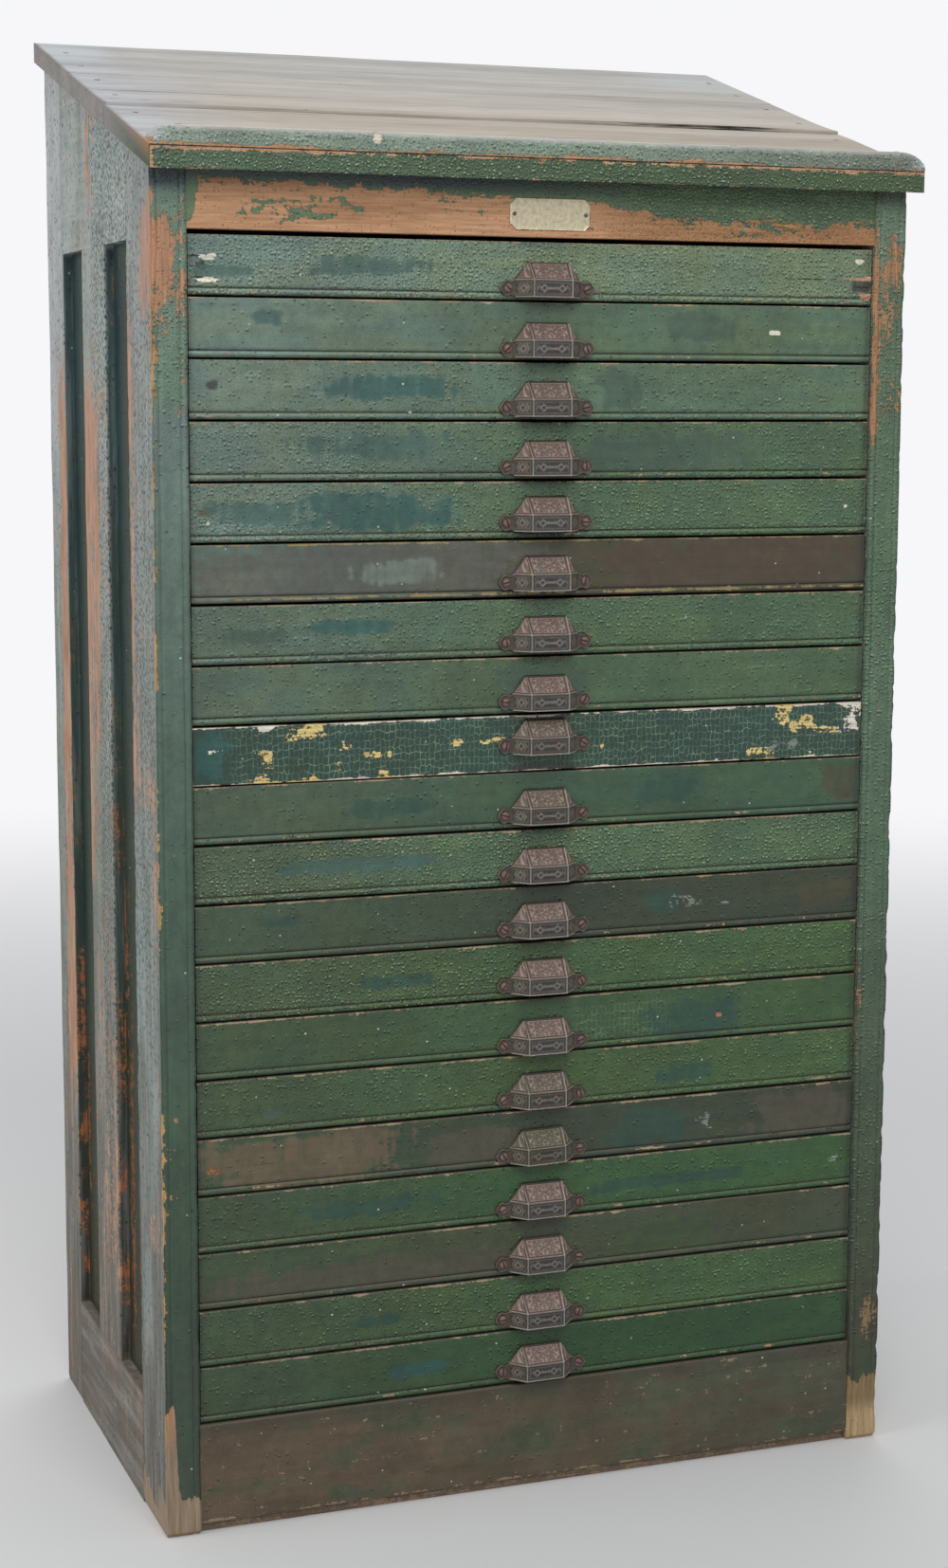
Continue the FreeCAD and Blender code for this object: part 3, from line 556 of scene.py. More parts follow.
def post_colours(rings, side):
    """Blue-green above and dark green below. The paint is gone in ragged patches near the top and
    in a broken line down each arris of the face; the foot is bare, and the outer side is chalky.
    The face carries a painted shadow just under the top, and is darker towards the foot."""
    x, y, z = np.moveaxis(rings, -1, 0)
    low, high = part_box(f"{side}_front_post")
    patch = sway(rings, (0.03, 0.03, 0.07), 3 + (side == "right"), 4)
    broken = sway(rings, (0.05, 0.05, 0.03), 5 + (side == "right"), 3)
    cool = past(drift(rings, (0.06, 0.06, 0.15), 8, 2), 0.4, 0.25)
    face, cloud = ("#3b3f38", "#2f3b32", "#4a5f52", "#6a7a75"), "#48644a"
    if side == "right":
        face, cloud = ("#454031", "#3b4534", "#4e6450", "#627561"), "#3a5638"
    tint = blend(ramp(z, (0.0, 0.25, 0.7, 1.1), face), tone(cloud), 0.4 * cool)
    if side == "left":
        tint = blend(tint, "#5f7862", 0.7 * within(z, 1.05, 1.23, 0.03))
        tint = blend(tint, "#42525c", 0.8 * within(z, 1.238, 1.256, 0.008))
    outer = ramp(z, (0.0, 0.3, 0.6, 1.26), ("#5a544b", "#62645e", "#71776f", "#868b88"))
    pale = smooth(4 * sway(rings, (0.05, 0.04, 0.2), 4, 3)) * past(z, 0.08, 0.2)
    outer = blend(outer, "#869493", 0.7 * pale)
    behind = past(y - low.y, 1.5 * mm, 1.5 * mm)
    tint = blend(tint, outer, behind)
    inner = x - low.x if side == "right" else high.x - x
    outside = high.x - x if side == "right" else x - low.x
    front = 1 - behind
    high_up = within(z, 1.10, 1.32, 0.14)
    if side == "left":
        bare = front * (0.02 + 0.24 * high_up + 0.16 * within(z, 0.98, 1.1, 0.06) + 1.6 * patch)
        bare += front * 0.40 * hump(outside, 2.8 * mm) * (1.0 + 3.4 * broken)
        bare += front * 0.25 * hump(inner - 4 * mm, 4.0 * mm) * within(z, 1.1, 1.3, 0.1)
        bare += front * 0.16 * within(outside, 4 * mm, 15 * mm, 4 * mm) * within(z, 1.09, 1.225, 0.03)
        bare -= front * 0.3 * within(z, 1.238, 1.256, 0.008)
        rear = high.y - y
        bare += behind * (0.62 * within(z, 0.66, 1.12, 0.14) * hump(rear, 30 * mm)
                          + 0.5 * within(z, 1.10, 1.24, 0.08)
                          * within(y, low.y + 6 * mm, low.y + 42 * mm, 0.02)
                          + 0.3 * within(z, 0.3, 0.75, 0.1) * within(y, low.y, low.y + 0.03, 0.02)
                          + 1.6 * patch)
        under = blend("#ad8264", "#b08c78", behind)
        under = blend(under, "#b3925a", front * hump(outside, 3 * mm) * (1 - past(z, 1.0, 0.2)))
    else:
        bare = front * (0.32 * within(z, 1.03, 1.22, 0.06) + 1.7 * patch - 0.02)
        bare += front * 0.3 * hump(inner - 3 * mm, 3.0 * mm) * (
            0.6 * within(z, 1.0, 1.3, 0.1) + 0.4) * (1.0 + 2.5 * broken)
        bare += behind * (0.2 + 1.6 * patch)
        under = blend("#a57d5a", "#94765c", behind)
    if side == "left":
        tongue = 0.022 + front * (0.004 + 0.085 * past(15 * mm, outside, 8 * mm))
        under = blend(under, "#93806a", 1 - past(z, 0.07, 0.06))
    else:
        tongue = 0.05
        bare += front * 0.36 * within(z, 0.0, 0.15, 0.03)
        under = blend(under, "#86704f", 1 - past(z, 0.12, 0.06))
        under = blend(under, "#b39872", 1 - past(z, 0.025, 0.02))
    foot = 1 - smooth((z - tongue + 0.10 * patch) / 0.014)
    bare = np.maximum(bare, 1.1 * foot)
    raised = np.where(behind > 0.5, 0.2 + 0.9 * within(z, 0.5, 1.3, 0.3) * drift(rings, 0.15, 9, 2),
                      0.05 + (0.9 * past(z, 0.95, 0.2) if side == "left" else 1.0)
                      * drift(rings, (0.1, 0.1, 0.2), 5, 2) * within(z, 0.2, 1.3, 0.3))
    # Painted shadow of the top's overhang just under it, then darker towards the foot
    grime = 0.75 * hump(top_low.z - z, 9 * mm) * front
    grime = grime + 0.2 * (1 - smooth(z / 0.4)) * front
    return film(rings, tint, "z", 1 if side == "left" else 2, under, bare, 0.0, raised, grime)


for side in ("left", "right"):
    low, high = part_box(f"{side}_front_post")
    profile = outline(rectangle(low.x, low.y, high.x, high.y), 0.9 * mm,
                      (0.8 * mm, 3.5 * mm, 12 * mm, 3.5 * mm))
    edge = np.minimum(profile[:, 0] - low.x, high.x - profile[:, 0])
    face = profile[:, 1] < low.y + 0.05 * mm
    profile[:, 1] += np.where(face, bead_depth(edge, BEAD, QUIRK), 0)
    rings = upright(profile, 0.0, under_top, 4.5 * mm, round_foot=0.09)
    rings[..., :2] = worn(rings, 0.35 * mm, 11)[..., :2]
    rings = nibbled(rings, low, high, 1.6 * mm if side == "right" else 0.9 * mm, 12)
    solid(f"{side}_post", [(rings, lambda r, side=side: post_colours(r, side))],
          (glossy_paint, chalked_paint), "carcass", [f"{side}_front_post"],
          second=lambda r, y=low.y: r[..., 1] > y + 2 * mm)


# Sides: a bottom rail, a middle stile, a top rail glued up from two boards and a rear post,
# round two tall panels set back 10 mm. The paint has gone chalky, and dust lies in the recesses.
RECESS = 10 * mm
rail_low, rail_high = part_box("left_side_framing")
rear_low, rear_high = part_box("rear_posts")
JOINT = rail_low.y + 0.525 * (rail_high.y - rail_low.y)
PANEL = 91.5 * mm
RAIL_TOP, RAIL_FOOT = 0.110, 1.197
OUTER_FACE = 0.3715
STILE_START, STILE_END = rail_low.y + PANEL, rail_high.y - PANEL


def side_colours(rings, seed, grain):
    """Blue-grey and green-grey chalk above, grey-brown below, with dark alligator specks towards
    the front. Salmon streaks of bare wood run down the rear of the stile and the rear post, and
    where a recess shelters the film it stays dark green, darkened further as painted shade, most
    just under the top rail, and flaked orange and brown low down."""
    x, y, z = np.moveaxis(rings, -1, 0)
    out = abs(x) > OUTER_FACE
    patch = sway(rings, (0.04, 0.03, 0.22), seed, 4)
    fine = sway(rings, (0.03, 0.012, 0.05), seed + 5, 3)
    tint = ramp(z, (0.0, 0.25, 0.6, 1.4), ("#5c554c", "#605d55", "#767a73", "#979b98"))
    tint = blend(tint, "#93a09c", 0.75 * smooth(5 * patch) * past(z, 0.25, 0.3))
    tint = blend(tint, "#6d7a6e", 0.7 * smooth(-5 * patch) * past(z, 0.1, 0.3))
    tint = blend(tint, "#a8abac", 0.8 * past(y, rear_low.y, 10 * mm) * past(z, 0.7, 0.5))
    tint = blend(tint, "#8a6a55", 0.5 * smooth(4 * fine) * (1 - 0.6 * past(z, 0.3, 0.9)))
    sheltered = (~out) & (z > RAIL_TOP + 2 * mm) & (z < RAIL_FOOT - 1 * mm)
    sheltered &= y < rear_high.y - 6 * mm
    # Inside a recess: the kept dark green paint, made darker still as painted shade of the recess
    shade = ramp(z, (0.1, 0.6, 1.2), ("#2f2b24", "#33463f", "#3a4f52"))
    shade = blend(shade, "#4a4a33", 0.4 * smooth(4 * fine))
    tint = np.where(sheltered[..., None], shade, tint)
    mid = within(z, 0.55, 1.06, 0.1)
    bare = 0.66 * mid * within(y, STILE_START + 40 * mm, STILE_END + 6 * mm, 0.04)
    bare = bare + 0.25 * within(z, 0.2, 0.55, 0.1) * within(y, STILE_START, STILE_END, 0.03)
    bare = bare + 0.85 * within(z, 0.36, 1.10, 0.16) * within(
        y, rear_low.y - 4 * mm, rear_low.y + 36 * mm, 0.03)
    bare = bare + 0.62 * within(z, 1.22, 1.33, 0.05) * within(y, JOINT + 2 * mm, JOINT + 18 * mm, 0.02)
    bare = bare + 0.5 * within(z, 1.197, 1.23, 0.03) * within(y, JOINT + 30 * mm, JOINT + 90 * mm, 0.03)
    bare = np.where(out, bare + 1.5 * patch + 0.5 * fine - 0.16 * past(z, 1.12, 0.1), 0)
    low_down = 1 - past(z, 0.35, 0.6)
    bare = np.where(sheltered, 0.22 * low_down - 0.04 + 1.5 * fine + 0.9 * patch, bare)
    under = blend("#b28d76", "#a8663e", sheltered.astype(float))
    under = blend(under, "#9c6c4a", 0.6 * smooth(5 * fine))
    front_part = within(y, -0.3, JOINT - 5 * mm, 0.02)
    raised = np.where(out, 0.15 + 1.0 * within(z, 0.3, 1.6, 0.3) * front_part
                      * (0.4 + 1.2 * drift(rings, 0.12, seed, 3)), 0.1)
    crack = np.where(z > 1.19, np.maximum(9 * (z < 1.2), abs(y - JOINT) / mm - 0.2), 9.0)
    crack = np.minimum(crack, np.minimum(abs(z - RAIL_FOOT), abs(z - RAIL_TOP)) / mm + 0.1)
    # Painted shade inside the recess, deepest just under the top rail
    grime = np.where(sheltered, 0.1 + 0.3 * within(z, 1.15, 1.2, 0.02), 0.0)
    return film(rings, tint, grain, seed, under, bare, 0.0, raised, grime, crack)


for side, lean in (("left", -1), ("right", 1)):
    face, inside = lean * abs(rail_low.x), lean * (abs(rail_low.x) - 33 * mm)
    boards = []
    for seed, (start, end, bottom, top) in enumerate((
            (rail_low.y, rail_high.y, 0.0, RAIL_TOP),
            (STILE_START, STILE_END, RAIL_TOP, RAIL_FOOT),
            (rail_low.y, JOINT, RAIL_FOOT, under_top),
            (JOINT, rail_high.y, RAIL_FOOT, under_top)), 3):
        profile = outline(rectangle(face, start, inside, end), 0.7 * mm,
                          (3 * mm, 20 * mm, 3 * mm, 3.5 * mm))
        rings = upright(profile, bottom, top, 5 * mm)
        rings[..., :2] = worn(rings, 0.3 * mm, seed)[..., :2]
        grain = "z" if seed == 4 else "y"
        boards.append((rings, lambda r, s=seed, g=grain: side_colours(r, s, g)))
    solid(f"{side}_framing", boards, chalked_paint, "carcass", [f"{side}_side_framing"])
    profile = outline(rectangle(face, rear_low.y, inside, rear_high.y), 1.2 * mm,
                      (3 * mm, 20 * mm, 4 * mm, 3.5 * mm))
    rings = upright(profile, 0.0, under_top, 5 * mm, round_foot=0.05)
    rings[..., :2] = worn(rings, 0.5 * mm, 21 + lean)[..., :2]
    solid(f"{side}_rear_post", [(rings, lambda r, s=8 + lean: side_colours(r, s, "z"))],
          chalked_paint, "carcass", ["rear_posts"])


def panel_colours(rings):
    """Dark blue-green paint kept fresh behind the framing, painted darker and olive near the front
    of each panel as shade of the framing there, and worn grey-green with brown streaks low down."""
    _, y, z = np.moveaxis(rings, -1, 0)
    patch = sway(rings, (0.02, 0.02, 0.3), 6, 3)
    tint = ramp(z, (0.1, 0.5, 1.2), ("#3b392c", "#2a3933", "#2d4141"))
    start = np.where(y < STILE_START, rail_low.y, STILE_END)
    # Painted shade: darker olive near the front of each panel, where the framing in front shades it
    tint = blend(tint, "#363d2b", 0.9 * (1 - past(y - start, 35 * mm, 45 * mm)))
    tint = blend(tint, "#544f3f", 0.5 * smooth(4 * patch) * (1 - past(z, 0.5, 0.5)))
    bare = 0.3 * within(z, 0.12, 0.6, 0.12) + 1.4 * patch
    return film(rings, tint, "z", 7, "#7a5338", bare, 0.0, 0.15, 0.1)


panels = []
for lean in (-1, 1):
    face = lean * (abs(rail_low.x) - RECESS)
    for start, end in ((rail_low.y, STILE_START), (STILE_END, rail_high.y)):
        profile = outline(rectangle(face, start, face - lean * RECESS, end), 0.2 * mm,
                          (20 * mm, 20 * mm, 20 * mm, 4 * mm))
        panels.append((upright(profile, RAIL_TOP, RAIL_FOOT, 6 * mm), panel_colours))
solid("panels", panels, dusty_paint, "carcass", ["side_panels"])


# Frieze rail over the cases: a board of pine whose paint has been rubbed off its lower part,
# and still lies under the lip and thick at the right-hand end. Its top carries a painted shadow
# of the lip, and its lowest edge painted shade.
def lengthwise(profile, start, end, step):
    """A board laid from left to right: the outline, in y and z, is carried from start to end."""
    count = max(2, round((end - start) / step) + 1)
    x = np.linspace(start, end, count)[:, None] + 0 * profile[:, 0]
    flat = np.broadcast_to(profile, (count, *profile.shape))
    return np.concatenate((x[..., None], flat), axis=-1)


def frieze_colours(rings):
    """Wood rubbed bare below a lacy edge: the paint keeps to a thin band on the left, comes
    down in the middle, and fills two thirds of the height at the right, with islands of lace.
    A painted shadow darkens the top under the lip, and painted shade the lowest edge."""
    x, _, z = np.moveaxis(rings, -1, 0)
    lace = sway(rings, (0.014, 0.1, 0.007), 4, 4)
    fine = sway(rings, (0.0045, 0.1, 0.0035), 6, 3)
    broad = sway(rings, (0.07, 0.1, 0.03), 2, 2)
    right = past(x, 0.02, 0.1)
    tint = ramp(x, (-0.34, -0.1, 0.12), ("#4f5f54", "#384448", "#455941"))
    tint = blend(tint, "#5d7152", 0.6 * smooth(5 * lace) * right)
    tint = blend(tint, "#5b7053", within(z, 1.205, 1.243, 0.01) * (1 - right))
    line = np.interp(x, (-0.335, -0.328, -0.13, -0.08, 0.06, 0.12, 0.345),
                     (1.212, 1.247, 1.244, 1.238, 1.236, 1.226, 1.221))
    bare = 0.5 + np.clip((line + 0.012 * broad - z) / (14 * mm), -0.6, 0.6) + 1.3 * lace
    island = within(x, -0.30, -0.17, 0.03) * within(z, 1.213, 1.238, 0.012)
    island = np.maximum(island, 0.8 * within(x, 0.13, 0.3, 0.05) * within(z, 1.206, 1.218, 0.01))
    bare = bare - island * (0.26 + 2.0 * fine) - 0.1
    bare = np.maximum(bare, 0.9 * (1 - past(z, 1.2045, 1.5 * mm)))
    under = blend("#bc8f6b", "#a87c56", right)
    under = blend(under, "#77694f", 0.75 * past(z, 1.240, 8 * mm) * (0.5 + 1.6 * broad))
    under = blend(under, "#8c5f3f", 0.5 * smooth(5 * sway(rings, (0.09, 0.1, 0.006), 7, 3)))
    # Painted shadow under the lip along the top, and painted shade along the lowest edge
    grime = 0.4 * past(z, 1.246, 5 * mm) + 0.6 * hump(z - 1.203, 1.6 * mm)
    return film(rings, tint, "x", 9, under, bare, 0.0, 0.75 * right + 0.25, grime)


low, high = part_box("frieze_rail")
corners = ((low.y, low.z), (low.y, under_top(low.y)), (high.y, under_top(high.y)), (high.y, low.z))
profile = outline(corners, 0.8 * mm, (1.5 * mm, 10 * mm, 20 * mm, 6 * mm))
rings = worn(lengthwise(profile, low.x, high.x, 3 * mm), 0.25 * mm, 31, 0.08)
rings[..., 0] = lengthwise(profile, low.x, high.x, 3 * mm)[..., 0]
solid("frieze", [(rings, frieze_colours)], glossy_paint, "carcass", ["frieze_rail"])


# Name plate: thin brass, pressed, dulled to cream, and left bare, with clipped corners, paint
# lapped over its rim and a painted line of shade round its edge. A small domed pin holds each end.
def plate_metal():
    """Tarnished brass: pale and dull, darker in blotches, dark green at the rim from lapped paint and
    painted shade.
    """
    material, t = fresh("tarnished_brass")
    lay = read(t, "lay", 1)
    wear = read(t, "wear")
    paint_lap_and_rim_shade = add(t, "SeparateColor", {0: wear})
    blotch = noise(t, lay, 260, 6, 0.7)
    colour = mix(t, remap(t, blotch, 0.4, 0.68), "#c4baa0", "#a2987e")
    edge = times(t, blotch, 0.8, paint_lap_and_rim_shade)
    edge = remap(t, edge, 0.92, 1.0)
    colour = mix(t, edge, colour, "#35392c")
    metal = remap(t, edge, 0, 1, 0.7, 0.0)
    rough = remap(t, blotch, 0.3, 0.7, 0.38, 0.6)
    coat(t, colour, rough, blotch, 0.6, 0.3 * mm, {"Metallic": metal})
    return material


brass = plate_metal()
low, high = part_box("nameplate")
CLIP = 6 * mm
half = (high.z - low.z) / 2
middle = (high.z + low.z) / 2
rise = np.array((0, 0.55, 0.9, 0.75, 0.6, 0.55, 0.55, 0.55, 0.55, 0.6, 0.75, 0.9, 0.55, 0)) * mm
span = np.array((-1, -1, -0.97, -0.93, -0.88, -0.7, -0.3, 0.3, 0.7, 0.88, 0.93, 0.97, 1, 1))
x = np.unique(np.concatenate((np.linspace(low.x, high.x, 60), np.linspace(low.x, low.x + CLIP, 8),
                              np.linspace(high.x - CLIP, high.x, 8))))
end = np.minimum(x - low.x, high.x - x)
reach = half - np.clip(CLIP - end, 0, CLIP)
near = np.clip(end / (1.6 * mm), 0, 1)[:, None]
z = middle + reach[:, None] * np.concatenate((span, (1, -1)))
y = high.y - np.concatenate((rise * 1.2 * (0.4 + 0.6 * near), np.zeros((len(x), 2))), axis=1)
rings = np.stack((x[:, None] + 0 * z, y, z), axis=-1)


def plate_colours(rings):
    """A dark line of painted shade all round the rim, and paint lapped over it, thickest in the clipped
    corners.
    """
    x, _, z = np.moveaxis(rings, -1, 0)
    rim = np.minimum(np.minimum(x - low.x, high.x - x), half - abs(z - middle))
    corner = (abs(x - (low.x + high.x) / 2) + abs(z - middle) - (high.x - low.x) / 2 - half + CLIP)
    # Painted shade in a thin line round the whole rim, with the paint lap in the corners and in patches
    paint_lap_and_rim_shade = 0.75 * hump(rim, 0.6 * mm) + 0.12 * smooth(corner / (2 * mm) + 1)
    paint_lap_and_rim_shade = paint_lap_and_rim_shade + 0.3 * hump(rim, 5 * mm) * (drift(rings, 0.01, 5) > 0.7)
    return film(rings, "#b5ad8c", "x", 10, bare=paint_lap_and_rim_shade)


solid("name_plate", [(rings, plate_colours)], brass, "carcass", ["nameplate"])


def dome(x, y, z, radius, height, sides=20):
    """A domed head that faces the front: circles shrink as a quarter of an ellipse rises."""
    t = np.linspace(0, 0.97, 7)[:, None]
    turn = np.linspace(0, 2 * np.pi, sides + 1)[:-1]
    reach = radius * np.sqrt(1 - t * t)
    return np.stack((x + reach * np.cos(turn), y - height * t + 0 * turn,
                     z + reach * np.sin(turn)), axis=-1)


pin_low, pin_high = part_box("nameplate_pins")


# Sloping top: three wide boards across the sides, weathered grey, with open joints and long
# checks. The front one is cut plumb and still painted along its edge, under the ledge.
def weathered_pine():
    """Old softwood gone grey out of doors: long pale and dark fibres, dark checks along the grain
    and a bloom of old paint; no gloss at all."""
    material, t = fresh("weathered_pine")
    lay = read(t, "lay", 1)
    tint = read(t, "tint")
    wear = read(t, "wear")
    parts = add(t, "SeparateColor", {0: wear})
    crack = read(t, "crack", 2)
    along = add(t, "VectorMath", {0: lay, 1: (0.045, 1, 1)}, operation="MULTIPLY")
    longer = add(t, "VectorMath", {0: lay, 1: (0.018, 1, 1)}, operation="MULTIPLY")
    cloud = noise(t, along, 26, 5, 0.6)
    grain = noise(t, along, 380, 5, 0.65)
    check = noise(t, longer, 210, 3, twist=0.3)
    depth = remap(t, cloud, 0.3, 0.7, 0.82, 1.14)
    fine = remap(t, grain, 0.3, 0.7, 0.78, 1.16)
    depth = times(t, depth, fine)
    colour = brighten(t, tint, depth)
    bloom = times(t, cloud, 1.0, parts.node.outputs["Green"])
    bloom = remap(t, bloom, 0.82, 1.15, 0, 0.75)
    colour = mix(t, bloom, colour, "#b4babb")
    split = remap(t, check, 0.68, 0.73, 0, 0.6)
    colour = mix(t, split, colour, "#3d352c")
    open_line = times(t, grain, 2.0, crack)
    open_line = remap(t, open_line, 1.3, 0.8)
    colour = mix(t, open_line, colour, "#231e19")
    dots = add(t, "TexVoronoi", {"Vector": lay, "Scale": 60})
    chosen = add(t, "SeparateColor", {0: dots.node.outputs["Color"]})
    dot = times(t, remap(t, dots, 0.07, 0.04), remap(t, chosen, 0.9, 0.91))
    colour = mix(t, dot, colour, "#6a6156")
    height = times(t, grain, 0.35, times(t, split, -0.5))
    coat(t, colour, 0.85, height, 0.8, mm, {"Specular IOR Level": 0.3})
    return material


grey_pine = weathered_pine()


def lip_colours(rings):
    """The painted front edge: dark green with blisters, worn to orange along the joint."""
    x, _, z = np.moveaxis(rings, -1, 0)
    lace = sway(rings, (0.02, 0.1, 0.006), 12, 3)
    broad = sway(rings, (0.12, 0.1, 0.05), 13, 2)
    top = top_low.z + LIP
    tint = ramp(x, (-0.37, 0.37), ("#3e513d", "#334629"))
    bare = 0.85 * hump(top - z, 4.5 * mm) * (1 + 1.2 * broad) + 1.1 * lace
    bare = bare + 0.4 * hump(z - top_low.z, 1.8 * mm)
    bare = bare + 0.9 * hump(x - top_low.x, 3 * mm) - 0.08
    return film(rings, tint, "x", 13, "#b8916f", bare, 0.0, 0.95, 0.0, (top - z) / mm - 0.6)


# Cracks in the top: places from left to right and front to back, and the width at their middle
CHECKS = ((((-0.378, -0.0655), (0.378, -0.0705)), 0.9), (((-0.378, 0.083), (0.1, 0.082)), 0.15),
          (((-0.377, -0.045), (-0.30, -0.052), (-0.25, -0.050)), 1.0),
          (((-0.377, 0.060), (-0.33, 0.055), (-0.29, 0.052)), 0.7),
          (((0.22, -0.048), (0.29, -0.051), (0.335, -0.052)), 0.7),
          (((0.05, -0.030), (0.16, -0.034)), 0.4), (((-0.1, 0.02), (0.08, 0.016)), 0.3))


def to_crack(a, b, lines):
    """Millimetres from points (a, b) to the nearest of the lines, less half the line's width; the
    width shrinks to nothing at both ends. A line is a chain of straight pieces."""
    best = np.full(a.shape, 9.0)
    for path, wide in lines:
        path = np.array(path)
        steps = np.linalg.norm(np.diff(path, axis=0), axis=1)
        run = np.concatenate(((0,), np.cumsum(steps))) / steps.sum()
        for (p, q), (here, there) in zip(zip(path, path[1:]), zip(run, run[1:])):
            along = q - p
            t = ((a - p[0]) * along[0] + (b - p[1]) * along[1]) / (along @ along)
            t = np.clip(t, 0, 1)
            away = np.hypot(a - p[0] - t * along[0], b - p[1] - t * along[1])
            share = here + t * (there - here)
            half = wide * np.sqrt(np.clip(4 * share * (1 - share), 0, 1))
            best = np.minimum(best, away / mm - half + 0.6 * (1 - np.clip(half, 0, 1)))
    return best


def top_colours(rings):
    """Grey-brown boards, bluish white at the left end and the back, brown towards the front; the
    sawn end at the left is orange and ragged near the front."""
    x, y, _ = np.moveaxis(rings, -1, 0)
    cloud = drift(rings, (0.3, 0.06, 0.2), 14, 2)
    ragged = drift(rings, (0.05, 0.03, 0.05), 15, 3)
    tint = blend("#b0a79c", "#a8a5a0", smooth((y + 0.15) / 0.3))
    tint = blend(tint, "#a49886", 0.6 * cloud * (1 - smooth((y + 0.12) / 0.1)))
    ends = 1 - past(x, top_low.x, 0.06 + 0.16 * ragged)
    tint = blend(tint, "#a9abb0", 0.8 * ends)
    bloom = 0.40 * ends + 0.28 * past(y, 0.10, 0.1)
    bloom = bloom + 0.28 * past(x, 0.18, 0.15) * past(y, 0.0, 0.1)
    flank = x < top_low.x + 1 * mm
    front = 1 - smooth((y + 0.235) / 0.05)
    tint = np.where(flank[..., None], blend("#8b8783", "#a07a58", front), tint)
    crack = to_crack(x, y, CHECKS)
    crack = np.where(flank, 9.0, crack)
    return film(rings, tint, "x", 15, "#8a7c6a", 0.0, np.where(flank, 0.1, bloom), 0.0, 0.0, crack)


cuts = (top_low.y, top_low.y + 178 * mm, top_low.y + 330 * mm, top_high.y)
boards = []
for index, (start, end) in enumerate(zip(cuts, cuts[1:])):
    gap = (0.0, 0.6, 0.15)[index] * mm
    slack = (0.9, 0.1, 0.0)[index] * mm
    a, b = start + gap, end - slack
    corners = ((a, under_top(a)), (a, under_top(a) + LIP), (b, under_top(b) + LIP), (b, under_top(b)))
    profile = outline(corners, 1.1 * mm, (1.3 * mm, 3 * mm, 5 * mm, 12 * mm))
    rings = worn(lengthwise(profile, top_low.x, top_high.x, 4 * mm), 0.45 * mm, 40 + index, 0.09)
    rings[..., 0] = np.clip(rings[..., 0], top_low.x, top_high.x)
    # The boards have cupped: a rear board's front edge stands up to 2 mm above the one before it
    x, y, z = np.moveaxis(rings, -1, 0)
    upper = past(z, under_top(y), LIP)
    curl = (0.0, 2.0, 0.25)[index] * mm * np.exp(-(y - a) / (26 * mm))
    curl = curl * (0.5 + drift(rings * (1, 0, 0), 0.15, 44))
    drop = (0.9, 0.1, 0.0)[index] * mm * np.exp(-(b - y) / (12 * mm))
    rings[..., 2] += upper * (curl - drop)
    boards.append(rings)


def lip_face(rings):
    """The points of the plumb front edge, which is painted."""
    return rings[..., 1] < top_low.y + 1.6 * mm


def front_board_colours(rings):
    """The front board is painted on its edge and bare on top."""
    edge, top = lip_colours(rings), top_colours(rings)
    painted = lip_face(rings)[..., None]
    return {key: np.where(painted, edge[key], top[key]) for key in top}


solid("top_front_board", [(boards[0], front_board_colours)], (grey_pine, glossy_paint), "carcass",
      ["top_boards"], second=lip_face)
solid("top_rear_boards", [(rings, top_colours) for rings in boards[1:]], grey_pine, "carcass",
      ["top_boards"])


# Ledge: a strip nailed along the front of the top, its ends rounded over. The paint is thin and
# pale, and chipped to white at one place.
def ledge_rings():
    """The strip's outline shrinks in height along a quarter ellipse at each end."""
    low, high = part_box("top_ledge")
    deep = high.y - low.y
    bends, tip = (15 * mm, 26 * mm), 3.5 * mm
    turn = np.sin(np.linspace(0, np.pi / 2, 16)[1:])
    x = np.concatenate((low.x + bends[0] * (1 - turn[::-1]),
                        np.linspace(low.x + bends[0], high.x - bends[1], 190),
                        high.x - bends[1] * (1 - turn)))
    out = np.clip(np.where(x < 0, (low.x + bends[0] - x) / bends[0],
                           (x - high.x + bends[1]) / bends[1]), 0, 1)
    full = high.z - (top_low.z + LIP)
    height = tip + (full - tip) * np.sqrt(1 - out ** 2)
    unit = outline(((0, 0), (0, 1), (1, 1), (1, 0)), 0.0, (0.06, 0.09, 0.2, 0.2))
    y = low.y + unit[:, 0] * deep
    foot = top_low.z + LIP + (y - low.y) * RISE
    z = foot + unit[:, 1] * np.clip(height[:, None] - (y - low.y) * RISE, 0.3 * mm, None)
    corner = np.clip(1 - (y - low.y) / (4.5 * mm), 0, 1) ** 2 * np.clip(unit[:, 1] * 2 - 1, 0, 1)
    z = z - 3.2 * mm * corner * np.clip(height[:, None] / full, 0, 1)
    return np.stack((x[:, None] + 0 * z, y + 0 * z, z), axis=-1)


def ledge_colours(rings):
    """Grey-green, paler above and whitish at the ends, rubbed to wood along its foot, and with
    one white chip."""
    x, _, z = np.moveaxis(rings, -1, 0)
    base = top_low.z + LIP
    lace = sway(rings, (0.02, 0.1, 0.005), 16, 3)
    broad = sway(rings, (0.1, 0.1, 0.05), 18, 2)
    tint = ramp(x, (-0.36, 0.0, 0.36), ("#7d8b7e", "#708071", "#6d7569"))
    above = past(z - base, 11 * mm, 5 * mm)
    tint = blend(tint, "#a8ada6", above * 0.85)
    tint = blend(tint, "#a3a6a6", 1 - past(top_high.x, abs(x), 0.02))
    bare = 0.72 * hump(z - base, 3.6 * mm) * (1 + 2 * broad) + 1.1 * lace
    bare = bare * (1 - above) + 0.1 * above
    chip = within(x, -0.176, -0.168, 5 * mm) * within(z, base + 7 * mm, base + 16 * mm, 5 * mm)
    end = 1 - past(x, top_low.x, 5 * mm)
    bare = bare + 1.0 * chip + 0.5 * end
    under = blend("#b28a66", "#d9d4c4", np.maximum(chip, 0))
    under = blend(under, "#b09a86", 0.7 * above * (1 - chip))
    return film(rings, tint, "x", 17, under, bare, 0.0, 0.7 * (1 - above), 0.0, (z - base) / mm - 0.3)


solid("ledge", [(worn(ledge_rings(), 0.2 * mm, 51, 0.06), ledge_colours)], glossy_paint, "carcass",
      ["top_ledge"])


